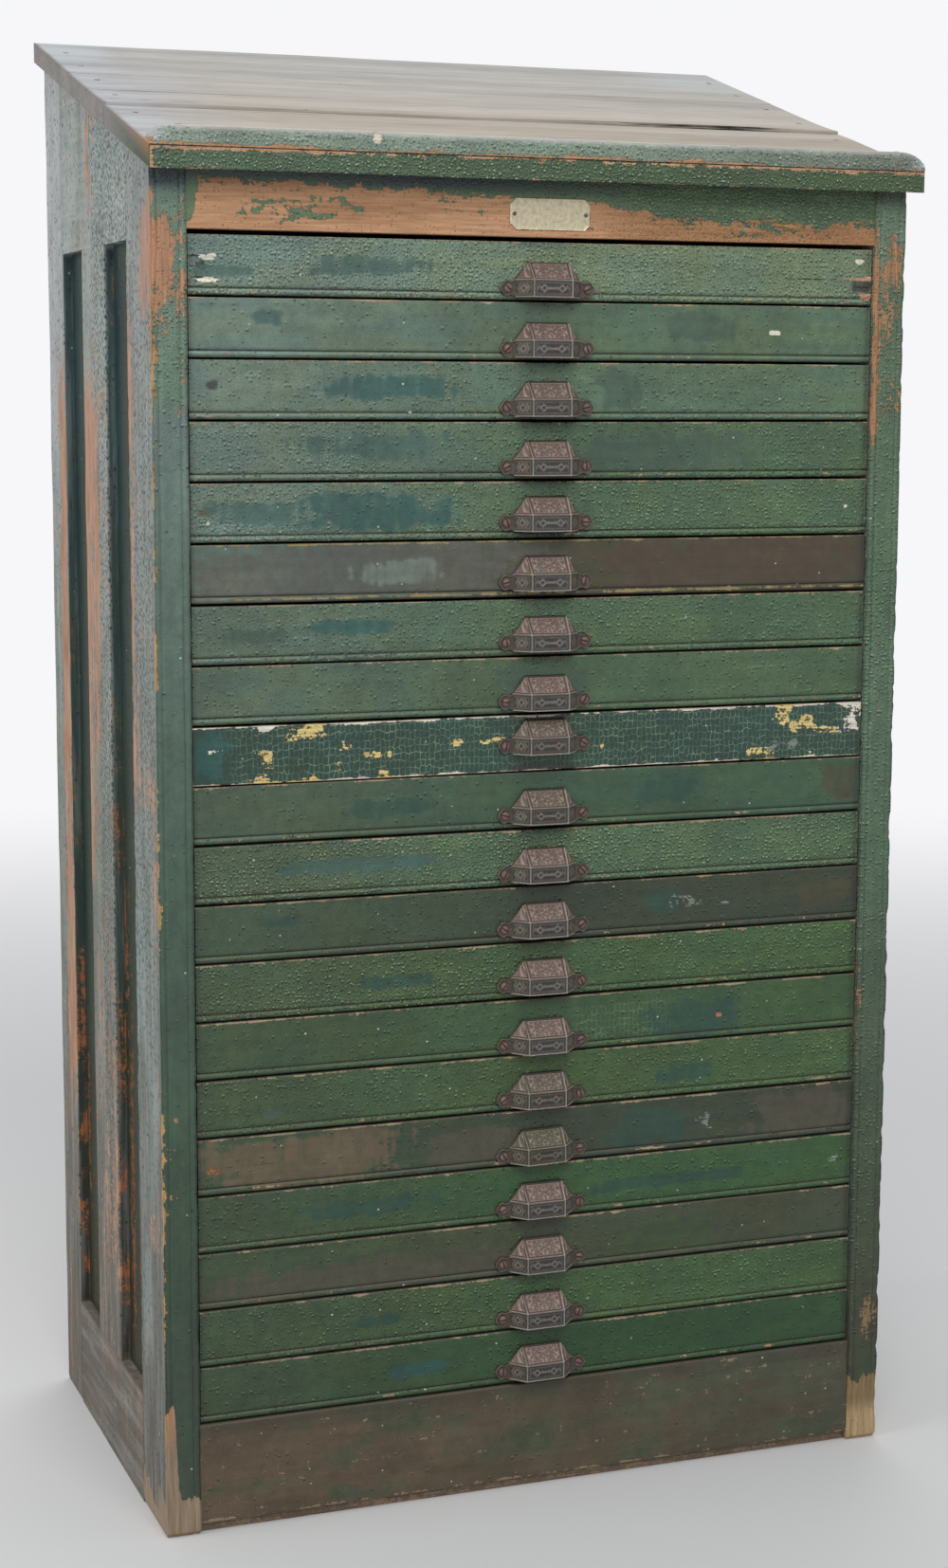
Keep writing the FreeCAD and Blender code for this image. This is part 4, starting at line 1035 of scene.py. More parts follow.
# Kick board below the cases and the strip it stands on: dark, scuffed by shoes, the strip bare.
def kick_colours(rings):
    """Olive and red-brown dirt in blotches, darker to the right, and at the top with painted shade
    under the cases, flecked with bare wood, which also shows in a ragged line along the lower edge."""
    x, _, z = np.moveaxis(rings, -1, 0)
    low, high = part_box("kick_board")
    cloud = sway(rings, (0.05, 0.1, 0.02), 18, 4)
    fleck = sway(rings, (0.012, 0.1, 0.006), 3, 3)
    tint = ramp(x, (-0.34, 0.0, 0.34), ("#665644", "#625644", "#565040"))
    tint = blend(tint, "#4a4f3c", smooth(0.25 + 0.9 * x + 4 * cloud))
    # Painted shade along the top, under the cases
    tint = blend(tint, "#3d3b2f", 0.6 * smooth((z - high.z + 22 * mm) / (18 * mm)))
    bare = 0.12 + 0.45 * hump(z - low.z, 3 * mm) + 1.1 * fleck + 0.2 * cloud
    return film(rings, tint, "x", 19, "#85745c", bare, 0.0, 0.05, 0.15 - cloud)


def floor_strip_colours(rings):
    """Brown with dirt and worn half bare."""
    return film(rings, "#7d6c5c", "x", 20, "#8b7560", 0.5, 0.0, 0.0, 0.1)


for name, colours in (("kick_board", kick_colours), ("floor_strip", floor_strip_colours)):
    low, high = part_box(name)
    corners = ((low.y, low.z), (low.y, high.z), (high.y, high.z), (high.y, low.z))
    profile = outline(corners, 1.0 * mm, (3.5 * mm, 8 * mm, 20 * mm, 8 * mm))
    rings = worn(lengthwise(profile, low.x, high.x, 4 * mm), 0.3 * mm, 61, 0.1)
    rings[..., 0] = np.clip(rings[..., 0], low.x, high.x)
    rings[..., 2] = np.clip(rings[..., 2], low.z, high.z)
    solid(f"{name}_face", [(rings, colours)], glossy_paint, "carcass",
          [name])


# Back and inside: sawn pine, never painted, brown with age. The back is six upright boards nailed
# to two rails; runners, battens, cleats and bottom board keep their plain shapes.
def old_pine(name, along=None):
    """Unpainted pine, browned by air: bands of summer growth along the board, and fine fibre.
    along is the scale for the three axes of a part read in Object coordinates."""
    material, t = fresh(name)
    if along:
        place = add(t, "TexCoord", out=3)
    else:
        place = read(t, "lay", 1)
        along = (0.05, 1, 1)
    tint = read(t, "tint")
    stretched = add(t, "VectorMath", {0: place, 1: along}, operation="MULTIPLY")
    cloud = noise(t, place, 7, 4)
    band = noise(t, stretched, 120, 3, twist=0.5)
    fibre = noise(t, stretched, 700, 4)
    light, dark = (rgba("#9a7c58"), rgba("#6d5137"))
    colour = mix(t, remap(t, band, 0.35, 0.65), light, dark)
    depth = times(t, remap(t, cloud, 0.3, 0.7, 0.75, 1.15), remap(t, fibre, 0.3, 0.7, 0.85, 1.1))
    colour = brighten(t, colour, depth)
    if name == "old_sawn_pine":
        colour = mix(t, 0.6, colour, tint)
    height = times(t, fibre, 0.5, band)
    coat(t, colour, 0.78, height, 0.5, 0.4 * mm)
    return material


sawn_pine = old_pine("old_sawn_pine")
case_pine = old_pine("old_case_pine")
pine_along_x = old_pine("old_pine_along_x", (0.05, 1, 1))
pine_along_y = old_pine("old_pine_along_y", (1, 0.05, 1))
for name, material in (("bottom_board", pine_along_x), ("back_framing", pine_along_x),
                       ("left_runners", pine_along_y), ("right_runners", pine_along_y),
                       ("top_cleats", pine_along_y)):
    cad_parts[name].data.materials.clear()
    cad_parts[name].data.materials.append(material)

low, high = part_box("back_boards")
BACK_CODES = ("#7a6a56", "#6f604e", "#82715b", "#75664f", "#7d6b58", "#6c5d4b")
wide = (high.x - low.x) / 6
backs = []
for index, code in enumerate(BACK_CODES):
    left, right = low.x + index * wide + 0.4 * mm, low.x + (index + 1) * wide - 0.3 * mm
    profile = outline(rectangle(left, low.y, right, high.y), 0.8 * mm,
                      (30 * mm, 8 * mm, 5 * mm, 8 * mm))
    rings = upright(profile, low.z, under_top, 9 * mm)
    rings[..., :2] = worn(rings, 0.25 * mm, 70 + index, 0.12)[..., :2]
    backs.append((rings, lambda r, c=code, i=index: film(r, c, "z", 21 + i)))
solid("back", backs, sawn_pine, "carcass", ["back_boards"])


# Case fronts: 16 mm boards with a bead worked along the lower edge. Each has aged its own way:
# blistered, rubbed smooth, gone brown, or, the ninth, recoated and cracked into a net.
PAINTS = {"pale": "#6b7c64", "sage": "#566a54", "moss": "#4a6046", "leaf": "#3b5536",
          "olive": "#3e5032", "grass": "#3f5735", "holly": "#365532", "pine": "#2c4b2c",
          "ivy": "#3d5640", "fir": "#333d2c", "bog": "#353f2e", "khaki": "#434b36",
          "umber": "#46432f", "clay": "#6f604c", "slate": "#5b5b54", "bark": "#4b3d31",
          "bottle": "#244036", "blue": "#3f5c56", "teal": "#2c5652", "deep": "#27493e",
          "dull": "#44594c", "drab": "#544f42", "soot": "#302f29", "ash": "#7b877e",
          "cream": "#e2dccd", "tan": "#bf9474", "straw": "#dcc280", "rust": "#b06c40"}

# Each front from the top: its paint, and how far the film is blistered and dirty
FRONTS = (("pale", 0.8, 0.1), ("sage", 0.1, 0.05), ("sage", 0.35, 0.05), ("moss", 0.5, 0.1),
          ("moss", 0.55, 0.05), ("umber", 0.0, 0.1), ("moss", 0.55, 0.05), ("moss", 0.25, 0.05),
          ("bottle", 0.0, 0.0), ("ivy", 0.05, 0.05), ("moss", 0.75, 0.05), ("fir", 0.15, 0.1),
          ("grass", 0.7, 0.05), ("leaf", 0.2, 0.05), ("grass", 0.5, 0.05), ("bog", 0.15, 0.1),
          ("holly", 0.25, 0.1), ("khaki", 0.1, 0.15), ("grass", 0.4, 0.05), ("pine", 0.15, 0.1))

# Marks on the fronts: kind, case, then left, right, bottom and top in millimetres from the
# front's lower left corner, and the paint. A stain lies in the paint, a chip goes down to another
# colour, and flakes are the same loss broken up by specks
MARKS = {
    "stain": {
        1: ((120, 214, 18, 36, "blue"), (6, 16, 22, 30, "soot"), (3, 60, 16, 26, "blue"),
            (655, 676, 12, 22, "soot")),
        2: ((60, 84, 30, 42, "blue"), (460, 530, 20, 44, "dull")),
        3: ((128, 252, 19, 41, "teal"), (390, 440, 10, 46, "dull"), (14, 26, 26, 34, "soot")),
        4: ((110, 246, 19, 44, "blue"), (380, 560, 8, 44, "dull")),
        5: ((98, 258, 12, 43, "teal"), (8, 22, 24, 30, "drab"), (20, 98, 14, 36, "blue")),
        6: ((-20, 330, 0, 54, "slate"), (150, 230, 14, 36, "ash"), (400, 690, 0, 54, "bark")),
        7: ((113, 195, 24, 37, "teal"), (20, 90, 18, 30, "dull")),
        8: ((300, 380, 10, 44, "dull"),),
        9: ((0, 30, 4, 46, "teal"),),
        10: ((150, 230, 18, 35, "deep"), (430, 500, 18, 44, "deep"), (640, 676, 6, 48, "umber")),
        11: ((99, 240, 23, 35, "blue"),),
        12: ((48, 108, 30, 38, "deep"), (448, 480, 18, 40, "deep"), (610, 670, 12, 40, "umber")),
        13: ((162, 223, 20, 31, "deep"),),
        14: ((448, 552, 6, 40, "deep"),),
        15: ((458, 521, 12, 31, "deep"), (62, 82, 14, 22, "dull")),
        16: ((419, 500, 8, 46, "deep"), (2, 210, 2, 48, "clay"), (215, 330, 4, 40, "drab"),
            (570, 676, 6, 46, "drab")),
        17: ((95, 235, 20, 36, "deep"), (400, 560, 18, 30, "deep")),
        18: ((420, 533, 8, 40, "olive"), (6, 320, 2, 32, "drab")),
        19: ((151, 200, 20, 30, "deep"),),
        20: ((190, 245, 20, 33, "teal"),)},
    "chip": {
        1: ((7, 23, 30, 37, "cream"), (4, 32, 11, 15, "cream"), (658, 666, 39, 43, "cream"),
            (648, 676, 24, 27, "tan"), (662, 676, 5, 11, "tan")),
        2: ((570, 580, 25, 29, "cream"),),
        3: ((204, 210, 5, 9, "cream"),),
        5: ((14, 19, 16, 21, "cream"), (652, 657, 25, 29, "cream")),
        9: ((396, 402, 16, 24, "straw"), (60, 74, 46, 53, "cream")),
        11: ((500, 506, 22, 29, "tan"),),
        14: ((524, 530, 20, 25, "rust"),)},
    "flakes": {
        9: ((84, 122, 38, 51, "straw"), (131, 151, 27, 34, "straw"), (151, 181, 18, 26, "straw"),
            (134, 140, 5, 16, "straw"), (181, 191, 15, 30, "straw"), (176, 188, 1, 8, "straw"),
            (80, 116, 0, 5, "straw"), (62, 76, 14, 36, "straw"), (50, 76, 1, 8, "straw"),
            (586, 600, 38, 54, "straw"), (592, 632, 24, 42, "straw"), (622, 664, 22, 32, "straw"),
            (548, 580, 2, 12, "straw"), (580, 612, 10, 20, "ash"), (246, 330, 26, 36, "straw"),
            (14, 30, 28, 33, "cream"), (655, 677, 20, 56, "cream")),
        12: ((470, 550, 24, 36, "ash"),),
        16: ((5, 26, 19, 27, "rust"), (496, 520, 18, 36, "ash")),
        17: ((638, 667, 22, 32, "ash"),)}}
PLAIN = 9
FRONT_TALL, FRONT_THICK, FRONT_MIDDLE = 52.7 * mm, 16 * mm, 338.5

# Cracks in the fronts, in the same places, with the width at their middle
FRONT_CRACKS = {
    1: ((((16, 33), (60, 36), (145, 44)), 0.3), (((540, 26), (600, 24), (676, 25)), 0.7),
        (((648, 18), (676, 17)), 0.9), (((0, 34), (14, 33)), 0.9), (((0, 16), (20, 14)), 0.8)),
    4: ((((2, 13), (60, 15), (120, 12)), 0.2),), 8: ((((20, 40), (140, 44)), 0.2),),
    12: ((((470, 40), (620, 44)), 0.2),), 16: ((((4, 24), (40, 26), (90, 25)), 0.5),)}


def front_rings(number, low, high):
    """The outline in y and z: bead and groove low on the face unless the front is plain, eased
    edges, straight back; carried from end to end with a slow waver of under half a millimetre."""
    rear = low.y + FRONT_THICK
    corners = ((low.y, 0), (low.y, FRONT_TALL), (rear, FRONT_TALL), (rear, 0))
    profile = outline(corners, 1.3 * mm, (1.7 * mm, 6 * mm, 18 * mm, 2.1 * mm))
    fine = np.array([(low.y, s * mm) for s in (1.4, 2, 2.7, 3.4, 4, 4.6, 5.1, 5.6, 6.05, 6.5, 7.1,
                                               7.8)])
    flat = ((abs(profile[:, 0] - low.y) < 0.01 * mm) & (profile[:, 1] < 8.5 * mm)
            & (profile[:, 1] > 1.31 * mm))
    if number != PLAIN:
        first = int(np.argmax(flat))
        profile = np.concatenate((profile[:first], fine, profile[first:][~flat[first:]]))
        face = profile[:, 0] < low.y + 0.9 * mm
        profile[:, 0] += np.where(face, bead_depth(profile[:, 1], BEAD, QUIRK), 0)
        profile[:, 0] = np.where(profile[:, 1] < 0.02 * mm, np.maximum(profile[:, 0], low.y + 2 * mm),
                                 profile[:, 0])
    rings = lengthwise(profile, low.x, high.x, 2.1 * mm)
    rings[..., 2] += low.z
    shift = sway(rings * (1, 0, 0), 0.21, number)
    rings[..., 2] += 0.7 * mm * shift
    rings[..., 1] += 0.5 * mm * sway(rings, (0.16, 1, 0.1), number + 30)
    return rings


def front_colours(rings, number, low):
    """One paint, bleached towards the left on the upper fronts, with cool and warm clouds, a worn
    line along the top edge and the bead, a painted highlight on the bead with painted shade under
    it and in its groove, painted shadow below the pull and along the top under the pull above,
    darker ends and edges as painted shade of the gaps, grime, and the marks. A mark is a rounded
    rectangle whose border is pushed in and out by a ragged field, with upright brush strokes in it."""
    x, y, z = np.moveaxis(rings, -1, 0)
    s, h = (x - low.x) / mm, (z - low.z) / mm
    paint, raised, grime = FRONTS[number - 1]
    face = y < low.y + 4 * mm
    faded = blend("#3d4e36", "#6a7b70", past(low.z, 0.42, 0.75))
    left = np.clip((350 - s) / 290, 0, 1) * (number != PLAIN)
    tint = blend(tone(PAINTS[paint]), faded, left)
    cloud = sway(rings, (0.06, 1, 0.02), number, 3)
    ragged = sway(rings, (0.014, 1, 0.008), number + 3, 3)
    wavy = sway(rings, (0.05, 1, 0.02), number + 5, 3)
    strokes = sway(rings, (0.004, 1, 0.03), number + 7, 2)
    broken = sway(rings, (0.03, 1, 0.03), number + 9, 3)
    warm = smooth(0.5 + 3 * wavy)[..., None]
    tint = tint * (np.array((0.93, 0.99, 1.06)) * (1 - warm) + np.array((1.05, 1.02, 0.94)) * warm)
    bare = face * (0.6 * hump(52.2 - h, 1.1) * (1 + 1.8 * broken) + 0.9 * ragged - 0.1)
    bead = hump(h - 3.6, 1.6)
    if number != PLAIN:
        # Painted highlight on the bead's upper half and painted shade on its underside
        painted_bead_light_and_shade = 1 + 0.45 * hump(h - 4.4, 0.9) - 0.35 * hump(h - 1.4, 1.2)
        tint = tint * np.where(face, painted_bead_light_and_shade, 1)[..., None]
    net = 0.0
    under = np.broadcast_to(tone("#a08c70"), tint.shape)
    if number == PLAIN:
        net = within(s, 36, 700, 50)
        edge = 0.8 * hump(52.7 - h, 2.0) + 0.9 * hump(h, 1.7)
        bare = face * (edge + 1.2 * ragged + 0.5 * broken - 0.12)
        under = np.broadcast_to(tone("#dfd3c1"), tint.shape)
    else:
        bare = bare + face * 0.33 * bead * (1 + 2.4 * broken)
    if number == 14:
        net = 0.8 * within(s, 375, 470, 40) * within(h, 4, 42, 12)
    if number == 6:
        bare = bare + 0.3 * bead * (s > 40) + 0.12
        under = np.broadcast_to(tone("#8f8258"), tint.shape)
    raised = raised * (0.35 + 1.2 * drift(rings, (0.10, 1, 0.05), number + 7, 2)) + 0.04
    marks = [(kind, *mark) for kind, cases in MARKS.items() for mark in cases.get(number, ())]
    for kind, start, end, foot, top, code in marks:
        u = abs(s - (start + end) / 2) / (end - start) * 2
        v = abs(h - (foot + top) / 2) / (top - foot) * 2
        away = (u ** 4 + v ** 4) ** 0.25
        if kind == "stain":
            mark = smooth((1.1 - away + 0.9 * wavy + 0.9 * ragged + 0.5 * strokes) / 0.28)
            mark = np.clip(mark * (1 + 1.3 * strokes), 0, 1)
            tint = blend(tint, tone(PAINTS[code]), (0.9 if end - start < 30 else 0.8) * mark)
            raised = raised * (1 - 0.85 * mark)
        else:
            mark = smooth((1.15 - away + 2.6 * ragged) / 0.6)
            bare = np.maximum(bare, mark * (0.8 if kind == "chip" else 0.52))
            under = blend(under, tone(PAINTS[code]), past(1.6, away, 0.3))
    crack = to_crack(s * mm, h * mm, [(np.array(path) * mm, wide)
                                      for path, wide in FRONT_CRACKS.get(number, ())])
    # Painted shade at the ends, in the bead's groove, along the lower edge and off the face, where the
    # gaps lie in shade; painted shadow below the pull and along the top under the pull above; then the
    # front's own grime
    dirt_and_shade = 0.5 * hump(s, 3) + 0.5 * hump(673 - s, 3)
    dirt_and_shade = dirt_and_shade + 0.75 * np.exp(-((s - FRONT_MIDDLE) / 38) ** 4) * hump(h - 3, 6)
    dirt_and_shade = dirt_and_shade + 0.3 * np.exp(-((s - FRONT_MIDDLE) / 32) ** 4) * hump(h - 53, 9)
    dirt_and_shade = dirt_and_shade + 0.7 * hump(h - 6.6, 0.9) * (number != PLAIN)
    dirt_and_shade = dirt_and_shade + 0.2 * hump(h, 1.2) + grime * (1 + 2 * cloud)
    dirt_and_shade = dirt_and_shade + 0.9 * (y > low.y + 6 * mm)
    return film(rings, tint, "x", 30 + 3 * number, under, bare, net, raised, dirt_and_shade, crack)


# Trays behind the fronts: pine sides, back and bottom, two bars, and thin partitions halved into
# each other like the cells of an egg box, as the sorts of type lie in.
TRAY_Z = np.array((9.3, 13.3, 41.3, 47.3)) * mm


def stick(low, high, axis, ease=0.5 * mm):
    """A straight board between two corners with eased edges, carried along one of its axes."""
    a, b = (k for k in range(3) if k != axis)
    profile = outline(rectangle(low[a], low[b], high[a], high[b]), ease, 1.0)
    rings = np.zeros((2, len(profile), 3))
    rings[:, :, a], rings[:, :, b] = profile[:, 0], profile[:, 1]
    rings[:, :, axis] = np.array((low[axis], high[axis]))[:, None]
    return rings


def comb(start, end, fixed, thick, foot, top, notches, notch_wide, from_top, axis):
    """A thin partition, notched half way from its top or its foot where others cross it: the
    outline, along the partition and up, is carried through its thickness."""
    half = (foot + top) / 2
    cut = top if from_top else foot
    edge = [(start, cut)]
    for place in notches:
        a, b = place - notch_wide / 2, place + notch_wide / 2
        edge += [(a, cut), (a, half), (b, half), (b, cut)]
    edge += [(end, cut)]
    other = foot if from_top else top
    path = np.array(edge + [(end, other), (start, other)])
    rings = np.zeros((2, len(path), 3))
    rings[..., axis] = path[:, 0]
    rings[..., 2] = path[:, 1]
    rings[..., 1 - axis] = fixed + np.array((-0.5, 0.5))[:, None] * thick
    return rings


def tray_tubes(level, seed):
    """All the boards of one tray, at their height above the case's level."""
    left, right = -0.336, 0.336
    front, rear = -0.2035, 0.2025
    wall, bar, thin = 8 * mm, 7 * mm, 1.8 * mm
    foot, bed, strip_top, top = level + TRAY_Z
    boards = [(stick((left, front, foot), (left + wall, rear, top), 1), "y"),
              (stick((right - wall, front, foot), (right, rear, top), 1), "y"),
              (stick((left + wall, rear - wall, foot), (right - wall, rear, top), 0), "x"),
              (stick((left + wall, front, foot), (right - wall, rear - wall, bed), 0, 0.2 * mm), "x")]
    inside = (left + wall, right - wall)
    places = [inside[0] + share * (inside[1] - inside[0]) for share in (0.36, 0.72)]
    edges = [inside[0]]
    for place in places:
        boards.append((stick((place - bar / 2, front, bed),
                             (place + bar / 2, rear - wall, top), 1), "y"))
        edges += [place - bar / 2, place + bar / 2]
    edges.append(inside[1])
    rows = [front + share * (rear - wall - front) for share in (0.25, 0.5, 0.75)]
    for bay, shares in enumerate(((0.25, 0.5, 0.75), (0.25, 0.5, 0.75), (0.34, 0.67))):
        start, end = edges[2 * bay], edges[2 * bay + 1]
        columns = [start + share * (end - start) for share in shares]
        boards += [(comb(start, end, row, thin, bed, strip_top, columns, thin, True, 0), "x")
                   for row in rows]
        boards += [(comb(front, rear - wall, column, thin, bed, strip_top, rows, thin, False, 1), "y")
                   for column in columns]
    return [(rings, lambda r, g=grain, s=seed + i: film(r, "#8f734f", g, s))
            for i, (rings, grain) in enumerate(boards)]


for number in range(1, 21):
    node = f"case_{number:02d}"
    low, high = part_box(node)
    body = f"drawer_{number:02d}"
    solid(f"{node}_front",
          [(front_rings(number, low, high), lambda r, n=number, l=low: front_colours(r, n, l))],
          glossy_paint, body, [node])
    solid(f"{node}_tray", tray_tubes(low.z - 1 * mm, number), case_pine, body, [node])


# Pulls: hooded cups of cast iron, eight-sided, with raised lines at every arris, scrolls in the
# fields, and a scalloped ear at each end with a slotted screw. Rusty brown, worn pale on top.
def rusty_iron():
    """Cast iron with old rust and dirt: dull, brown and grey in blotches, nearly black in the
    hollows and pale where hands have rubbed the raised lines. The red of wear is the relief."""
    material, t = fresh("rusty_cast_iron")
    lay = read(t, "lay", 1)
    tint = read(t, "tint")
    wear = read(t, "wear")
    raised = add(t, "SeparateColor", {0: wear})
    blotch = noise(t, lay, 110, 7, 0.7)
    grit = noise(t, lay, 800, 3)
    rust = remap(t, blotch, 0.48, 0.66, 0, 0.5)
    colour = mix(t, rust, tint, "#74554a")
    ashen = remap(t, blotch, 0.5, 0.34, 0, 0.5)
    colour = mix(t, ashen, colour, "#77766f")
    low = remap(t, raised, 0.45, 0.08, 0, 0.85)
    colour = mix(t, low, colour, "#1f1b18")
    rubbed = times(t, blotch, 0.8, raised)
    rubbed = remap(t, rubbed, 1.0, 1.35, 0, 0.8)
    colour = mix(t, rubbed, colour, "#b3aba2")
    fine = remap(t, grit, 0.3, 0.7, 0.72, 1.28)
    colour = brighten(t, colour, fine)
    height = times(t, grit, 0.5, blotch)
    rough = remap(t, blotch, 0.3, 0.7, 0.45, 0.7)
    coat(t, colour, rough, height, 0.8, 0.6 * mm, {"Metallic": 0.2})
    return material


iron = rusty_iron()
SCREW = 39.35
HOOD = {"base": 33.8, "top": 20.1, "front": 19.1, "deep": 16.6, "band": 15.9, "tall": 32.4,
        "crest": 3.5}


def lerp(a, b, t):
    """Point on the way from a to b."""
    return np.asarray(a) + (np.asarray(b) - np.asarray(a)) * t


def hood_grid(size, columns, rows):
    """The hood as a grid: columns run 0 to 3 over left side, front and right side; rows run 0 to 1
    up the band, 1 to 2 up the slope, and 2 to 2.3 back from its crest to the front. Every point
    lies on the straight line between corners."""
    c, r = columns[None, :, None], rows[:, None, None]
    up, back = np.clip(r, 0, 1), np.clip(r - 1, 0, 1)
    lines = []
    for x, y in ((-size["base"], 0), (-size["front"], -size["deep"]),
                 (size["front"], -size["deep"]), (size["base"], 0)):
        crest = (math.copysign(size["top"], x), -size["crest"], size["tall"])
        lines.append(lerp(lerp((x, y, 0), (x, y, size["band"]), up), crest, back))
    out = lerp(lines[0], lines[1], np.clip(c, 0, 1))
    out = out + (lines[2] - lines[1]) * np.clip(c - 1, 0, 1)
    out = out + (lines[3] - lines[2]) * np.clip(c - 2, 0, 1)
    out[..., 1] += size["crest"] * np.clip((rows[:, None] - 2) / 0.3, 0, 1)
    return out


def hood_relief(columns, rows):
    """Height of the casting's ornament, 0 to 1. Fields are bordered by a raised line and a finer
    one inside it. The band has a zigzag with two diamonds, its side fields a diamond between
    chevrons; the slope has curls, from sines of sines, and its side fields a fan of rays."""
    c, r = np.meshgrid(columns, rows)
    middle = (c >= 1) & (c <= 2)
    wide = np.where(middle, 39.2, 23.0)
    field_x = np.where(c < 1, c, np.where(c > 2, 3 - c, c - 1)) * wide
    tall = np.where(r < 1, 16.0, 25.5)
    field_z = np.where(r < 1, r, r - 1) * tall
    near = np.minimum(np.minimum(field_x, wide - field_x), np.minimum(field_z, tall - field_z))
    edge = np.maximum(hump(near, 0.9), 0.5 * hump(near - 2.9, 0.5))
    x, z = field_x - wide / 2, field_z - tall / 2
    zigzag = 2.2 - abs(x % 5.6 - 2.8) * 1.55
    band = hump(z - zigzag, 0.8) * (abs(abs(x) - 9) > 4) * (abs(x) > 3)
    band = np.maximum(band, hump(z, 0.8) * (abs(x) < 4))
    for place in (-9.0, 9.0):
        diamond = abs(x - place) / 3.6 + abs(z) / 3.0
        band = np.maximum(band, hump(diamond - 1, 0.3))
    diamond = abs(x) / 3.6 + abs(z) / 3.4
    corner = hump(diamond - 1, 0.28)
    chevron = hump(abs(x) - 6.4 + abs(z) * 0.7, 0.6)
    corner = np.maximum(corner, chevron)
    curls = (np.sin(0.75 * abs(x) + 1.5 * np.sin(0.55 * z + 0.8))
             + np.cos(0.62 * z + 1.4 * np.sin(0.5 * abs(x))))
    curls = hump(curls, 0.3)
    angle = np.arctan2(field_x + 2, tall - field_z + 1)
    fan = hump(angle % 0.42 - 0.21, 0.06) * (near > 2)
    lower = 0.1 + 0.7 * np.clip(1.2 * np.where(middle, band, corner), 0, 1)
    upper = np.where(middle, 0.28 + 0.7 * curls, 0.3 + 0.7 * fan)
    ornament = np.where(r < 1, lower, upper)
    ornament = np.maximum(ornament, 0.06)
    relief = np.maximum(edge, 0.85 * past(near, 3.1, 0.5) * ornament)
    held = np.minimum(np.minimum(c, 3 - c) * 8, (2 - r) * 10)
    return relief * smooth(held), near


def slotted(x, z, lean, radius=3.8, height=1.9):
    """A screw head: a low dome with a straight slot across it, leaning by an angle, and its
    relief, which is lowest in the slot."""
    ring = np.array((1.0, 1.0, 0.94, 0.84, 0.7, 0.55, 0.4, 0.25, 0.1))[:, None]
    turn = np.linspace(0, 2 * np.pi, 37)[:-1]
    px, pz = ring * radius * np.cos(turn), ring * radius * np.sin(turn)
    rise = height * np.sqrt(np.clip(1 - ring ** 2 * 0.93, 0, 1)) + 0 * turn
    rise[0] = 0
    slot = abs(px * np.sin(lean) + pz * np.cos(lean)) < 0.55
    rise = np.where(slot & (ring < 1), rise - 0.9, rise)
    return np.stack((x + px, -2.9 - rise, z + pz), axis=-1), np.where(slot & (ring < 1), 0.02, 0.45)


columns = np.unique(np.concatenate((np.linspace(0, 1, 22), np.linspace(1, 2, 50),
                                    np.linspace(2, 3, 22))))
rows = np.unique(np.concatenate((np.linspace(0, 1, 20), np.linspace(1, 2, 28), (2.1, 2.2, 2.3))))
outer = hood_grid(HOOD, columns, rows)
relief, near = hood_relief(columns, rows)
du = np.gradient(outer, axis=1)
dv = np.gradient(outer, axis=0)
normal = np.cross(du, dv)
normal = normal / np.maximum(np.linalg.norm(normal, axis=-1, keepdims=True), 1e-9)
normal = normal * np.where((normal * (0, -1, 0.3)).sum(axis=-1, keepdims=True) < 0, -1, 1)
outer = outer + normal * 0.8 * (relief - 0.5)[..., None]
inner_size = {"base": 28.8, "top": 17.6, "front": 16.6, "deep": 14.1, "band": 13.4, "tall": 27.4,
              "crest": 1.0}
inner = hood_grid(inner_size, columns, rows)
outer[..., 1] = np.minimum(outer[..., 1], 0)
hood = np.concatenate((outer, inner[:, ::-1]), axis=1)
hood_height = np.concatenate((relief, 0 * relief + 0.1), axis=1)
facet = np.meshgrid(columns, rows)
on_top = facet[1] > 1
on_side = (facet[0] < 1) | (facet[0] > 2)


def ear(side):
    """A scalloped tongue of iron from the hood to past the screw: its outline swells round the
    screw in lobes, and steps in as it rises, so that its rim is round and its field is sunk."""
    turn = np.linspace(-0.62 * np.pi, 0.62 * np.pi, 46)
    lobe = 7.6 * (1 - 0.16 * (1 - abs(np.cos(2.5 * turn))))
    x = np.concatenate(((29.5, 31.5), SCREW + lobe * np.cos(turn), (31.5, 29.5)))
    z = np.concatenate(((0.6, 0.6), 8 + lobe * np.sin(turn), (15.4, 15.4)))
    z = np.clip(z, 0.1, 15.9)
    levels = ((0, 1.0), (2.0, 1.0), (2.7, 0.96), (2.9, 0.9), (2.5, 0.82), (2.4, 0.6))
    return np.stack([np.stack((side * (SCREW + (x - SCREW) * s), np.full_like(x, -y),
                               8 + (z - 8) * s), axis=-1) for y, s in levels])


def iron_layers(rings, tint, height, seed):
    """The layers of a casting: its tint, the height of the relief as red of wear, and places."""
    shape = rings.shape[:2]
    wear = np.zeros((*shape, 4))
    wear[..., 0] = height
    tints = np.concatenate((np.broadcast_to(tint, (*shape, 3)), np.ones((*shape, 1))), axis=-1)
    return {"tint": tints, "wear": wear, "lay": rings + np.array((0.31, 0.77, 0.19)) * seed}


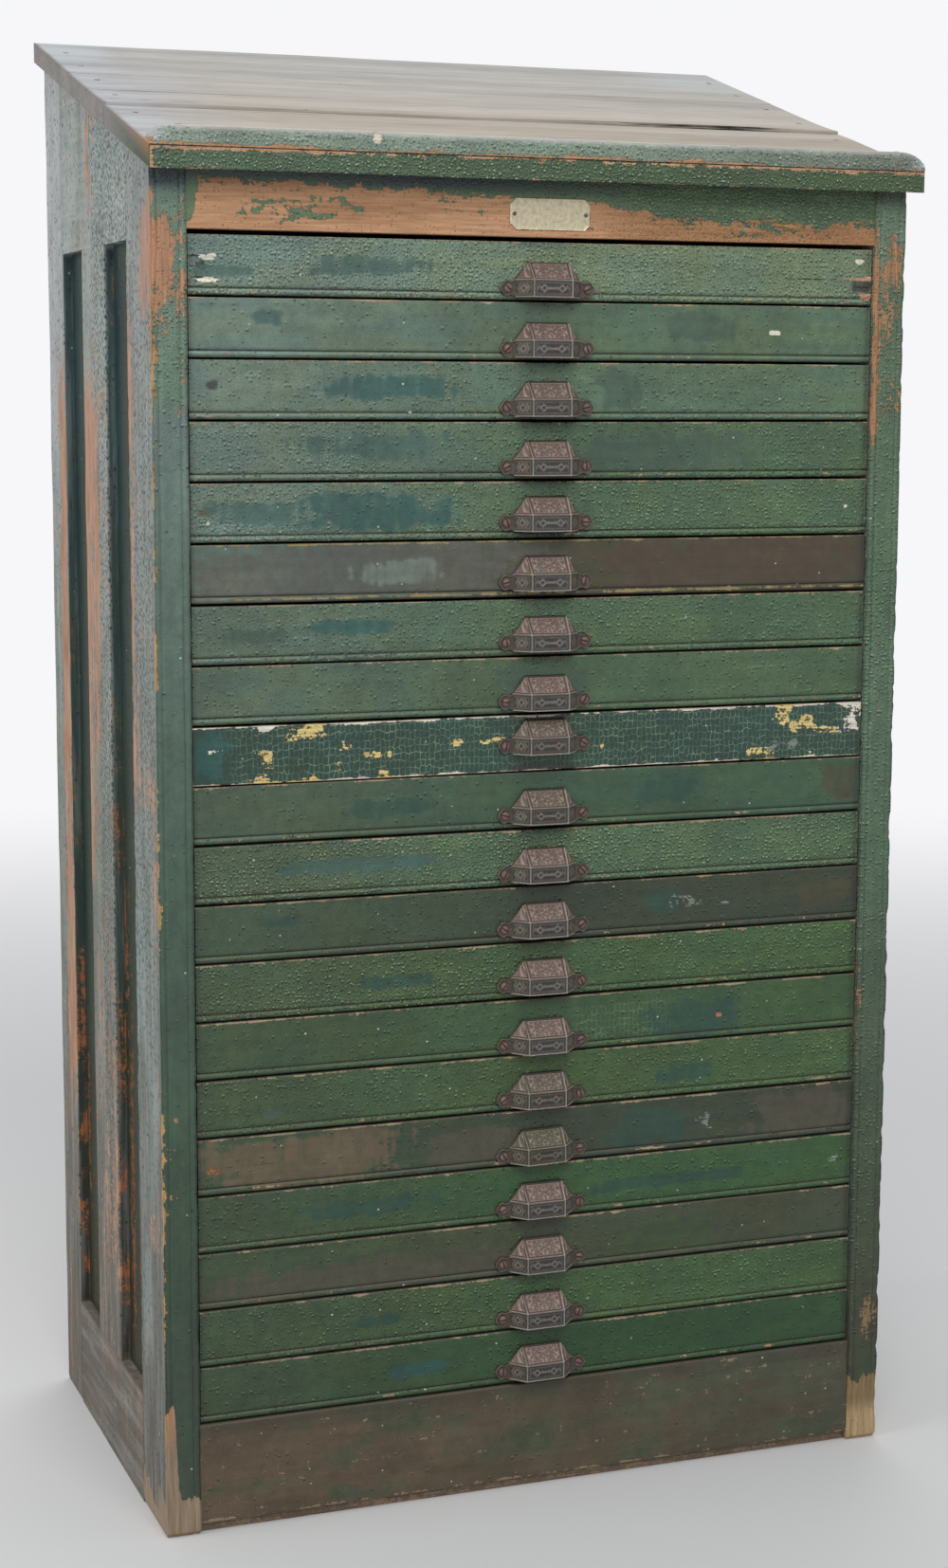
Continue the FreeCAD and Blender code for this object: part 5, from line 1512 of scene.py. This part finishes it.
PULL_GRIME = {3: 0.2, 9: 0.3, 10: 0.4, 15: 0.5, 16: 0.9}
for number in range(1, 21):
    low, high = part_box(f"pull_{number:02d}")
    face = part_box(f"case_{number:02d}")[0].y
    origin = np.array(((low.x + high.x) / 2, face, low.z))
    dirty = PULL_GRIME.get(number, 0)
    slope_tone = blend("#8a756a", "#67654f", dirty)
    band_tone = blend("#62615d", "#54513d", dirty)
    lean = {16: 0.02, 1: -0.008, 12: 0.006}.get(number, 0.003 * math.sin(number * 2.3))

    def placed(shape):
        """From millimetres on the front to the frame, leaning a little in the front's plane."""
        x, y, z = np.moveaxis(shape, -1, 0)
        turned = np.stack((x * math.cos(lean) - (z - 8) * math.sin(lean), y,
                           8 + x * math.sin(lean) + (z - 8) * math.cos(lean)), axis=-1)
        return origin + turned * mm

    side_tone = blend(band_tone, "#6d6656", 0.6)
    tints = np.where(on_top[..., None], slope_tone, np.where(on_side[..., None], side_tone, band_tone))
    tints = np.concatenate((tints, np.broadcast_to(tone("#241f1b"), tints.shape)), axis=1)
    tubes = [(placed(hood), lambda r, t=tints, h=hood_height, s=number: iron_layers(r, t, h, s))]
    for side in (-1, 1):
        plate = ear(side)
        rim_height = np.array((0.1, 0.3, 0.7, 0.6, 0.15, 0.3))[:, None]
        tubes.append((placed(plate), lambda r, h=rim_height, s=number + side * 0.3:
                      iron_layers(r, tone("#53493f"), h, s)))
        head, deep = slotted(side * SCREW, 8, number * 1.7 + side)
        tubes.append((placed(head), lambda r, h=deep, s=number + side * 0.2:
                      iron_layers(r, tone("#705850"), h, s)))
    solid(f"pull_{number:02d}_iron", tubes, iron, f"drawer_{number:02d}",
          [f"pull_{number:02d}"])


# Pins of the name plate and nails: small iron heads, rusted dark.
def pin_layers(rings):
    """Dark iron at an even height."""
    return iron_layers(rings, tone("#4c463a"), 0.5, 2)


heads = [(dome(px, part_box("nameplate")[0].y + 0.1 * mm, middle, 1.8 * mm, 1.0 * mm), pin_layers)
         for px in (pin_low.x + 1.8 * mm, pin_high.x - 1.8 * mm)]
solid("plate_pins", heads, iron, "carcass", ["nameplate_pins"])

nail_iron, t = fresh("rusted_nail_iron")
place = add(t, "TexCoord", out=3)
blotch = noise(t, place, 400, 5)
colour = mix(t, blotch, "#8c857c", "#a39b90")
coat(t, colour, 0.7, blotch, 0.5, 0.4 * mm, {"Metallic": 0.3})
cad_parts["cut_nails"].data.materials.clear()
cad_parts["cut_nails"].data.materials.append(nail_iron)
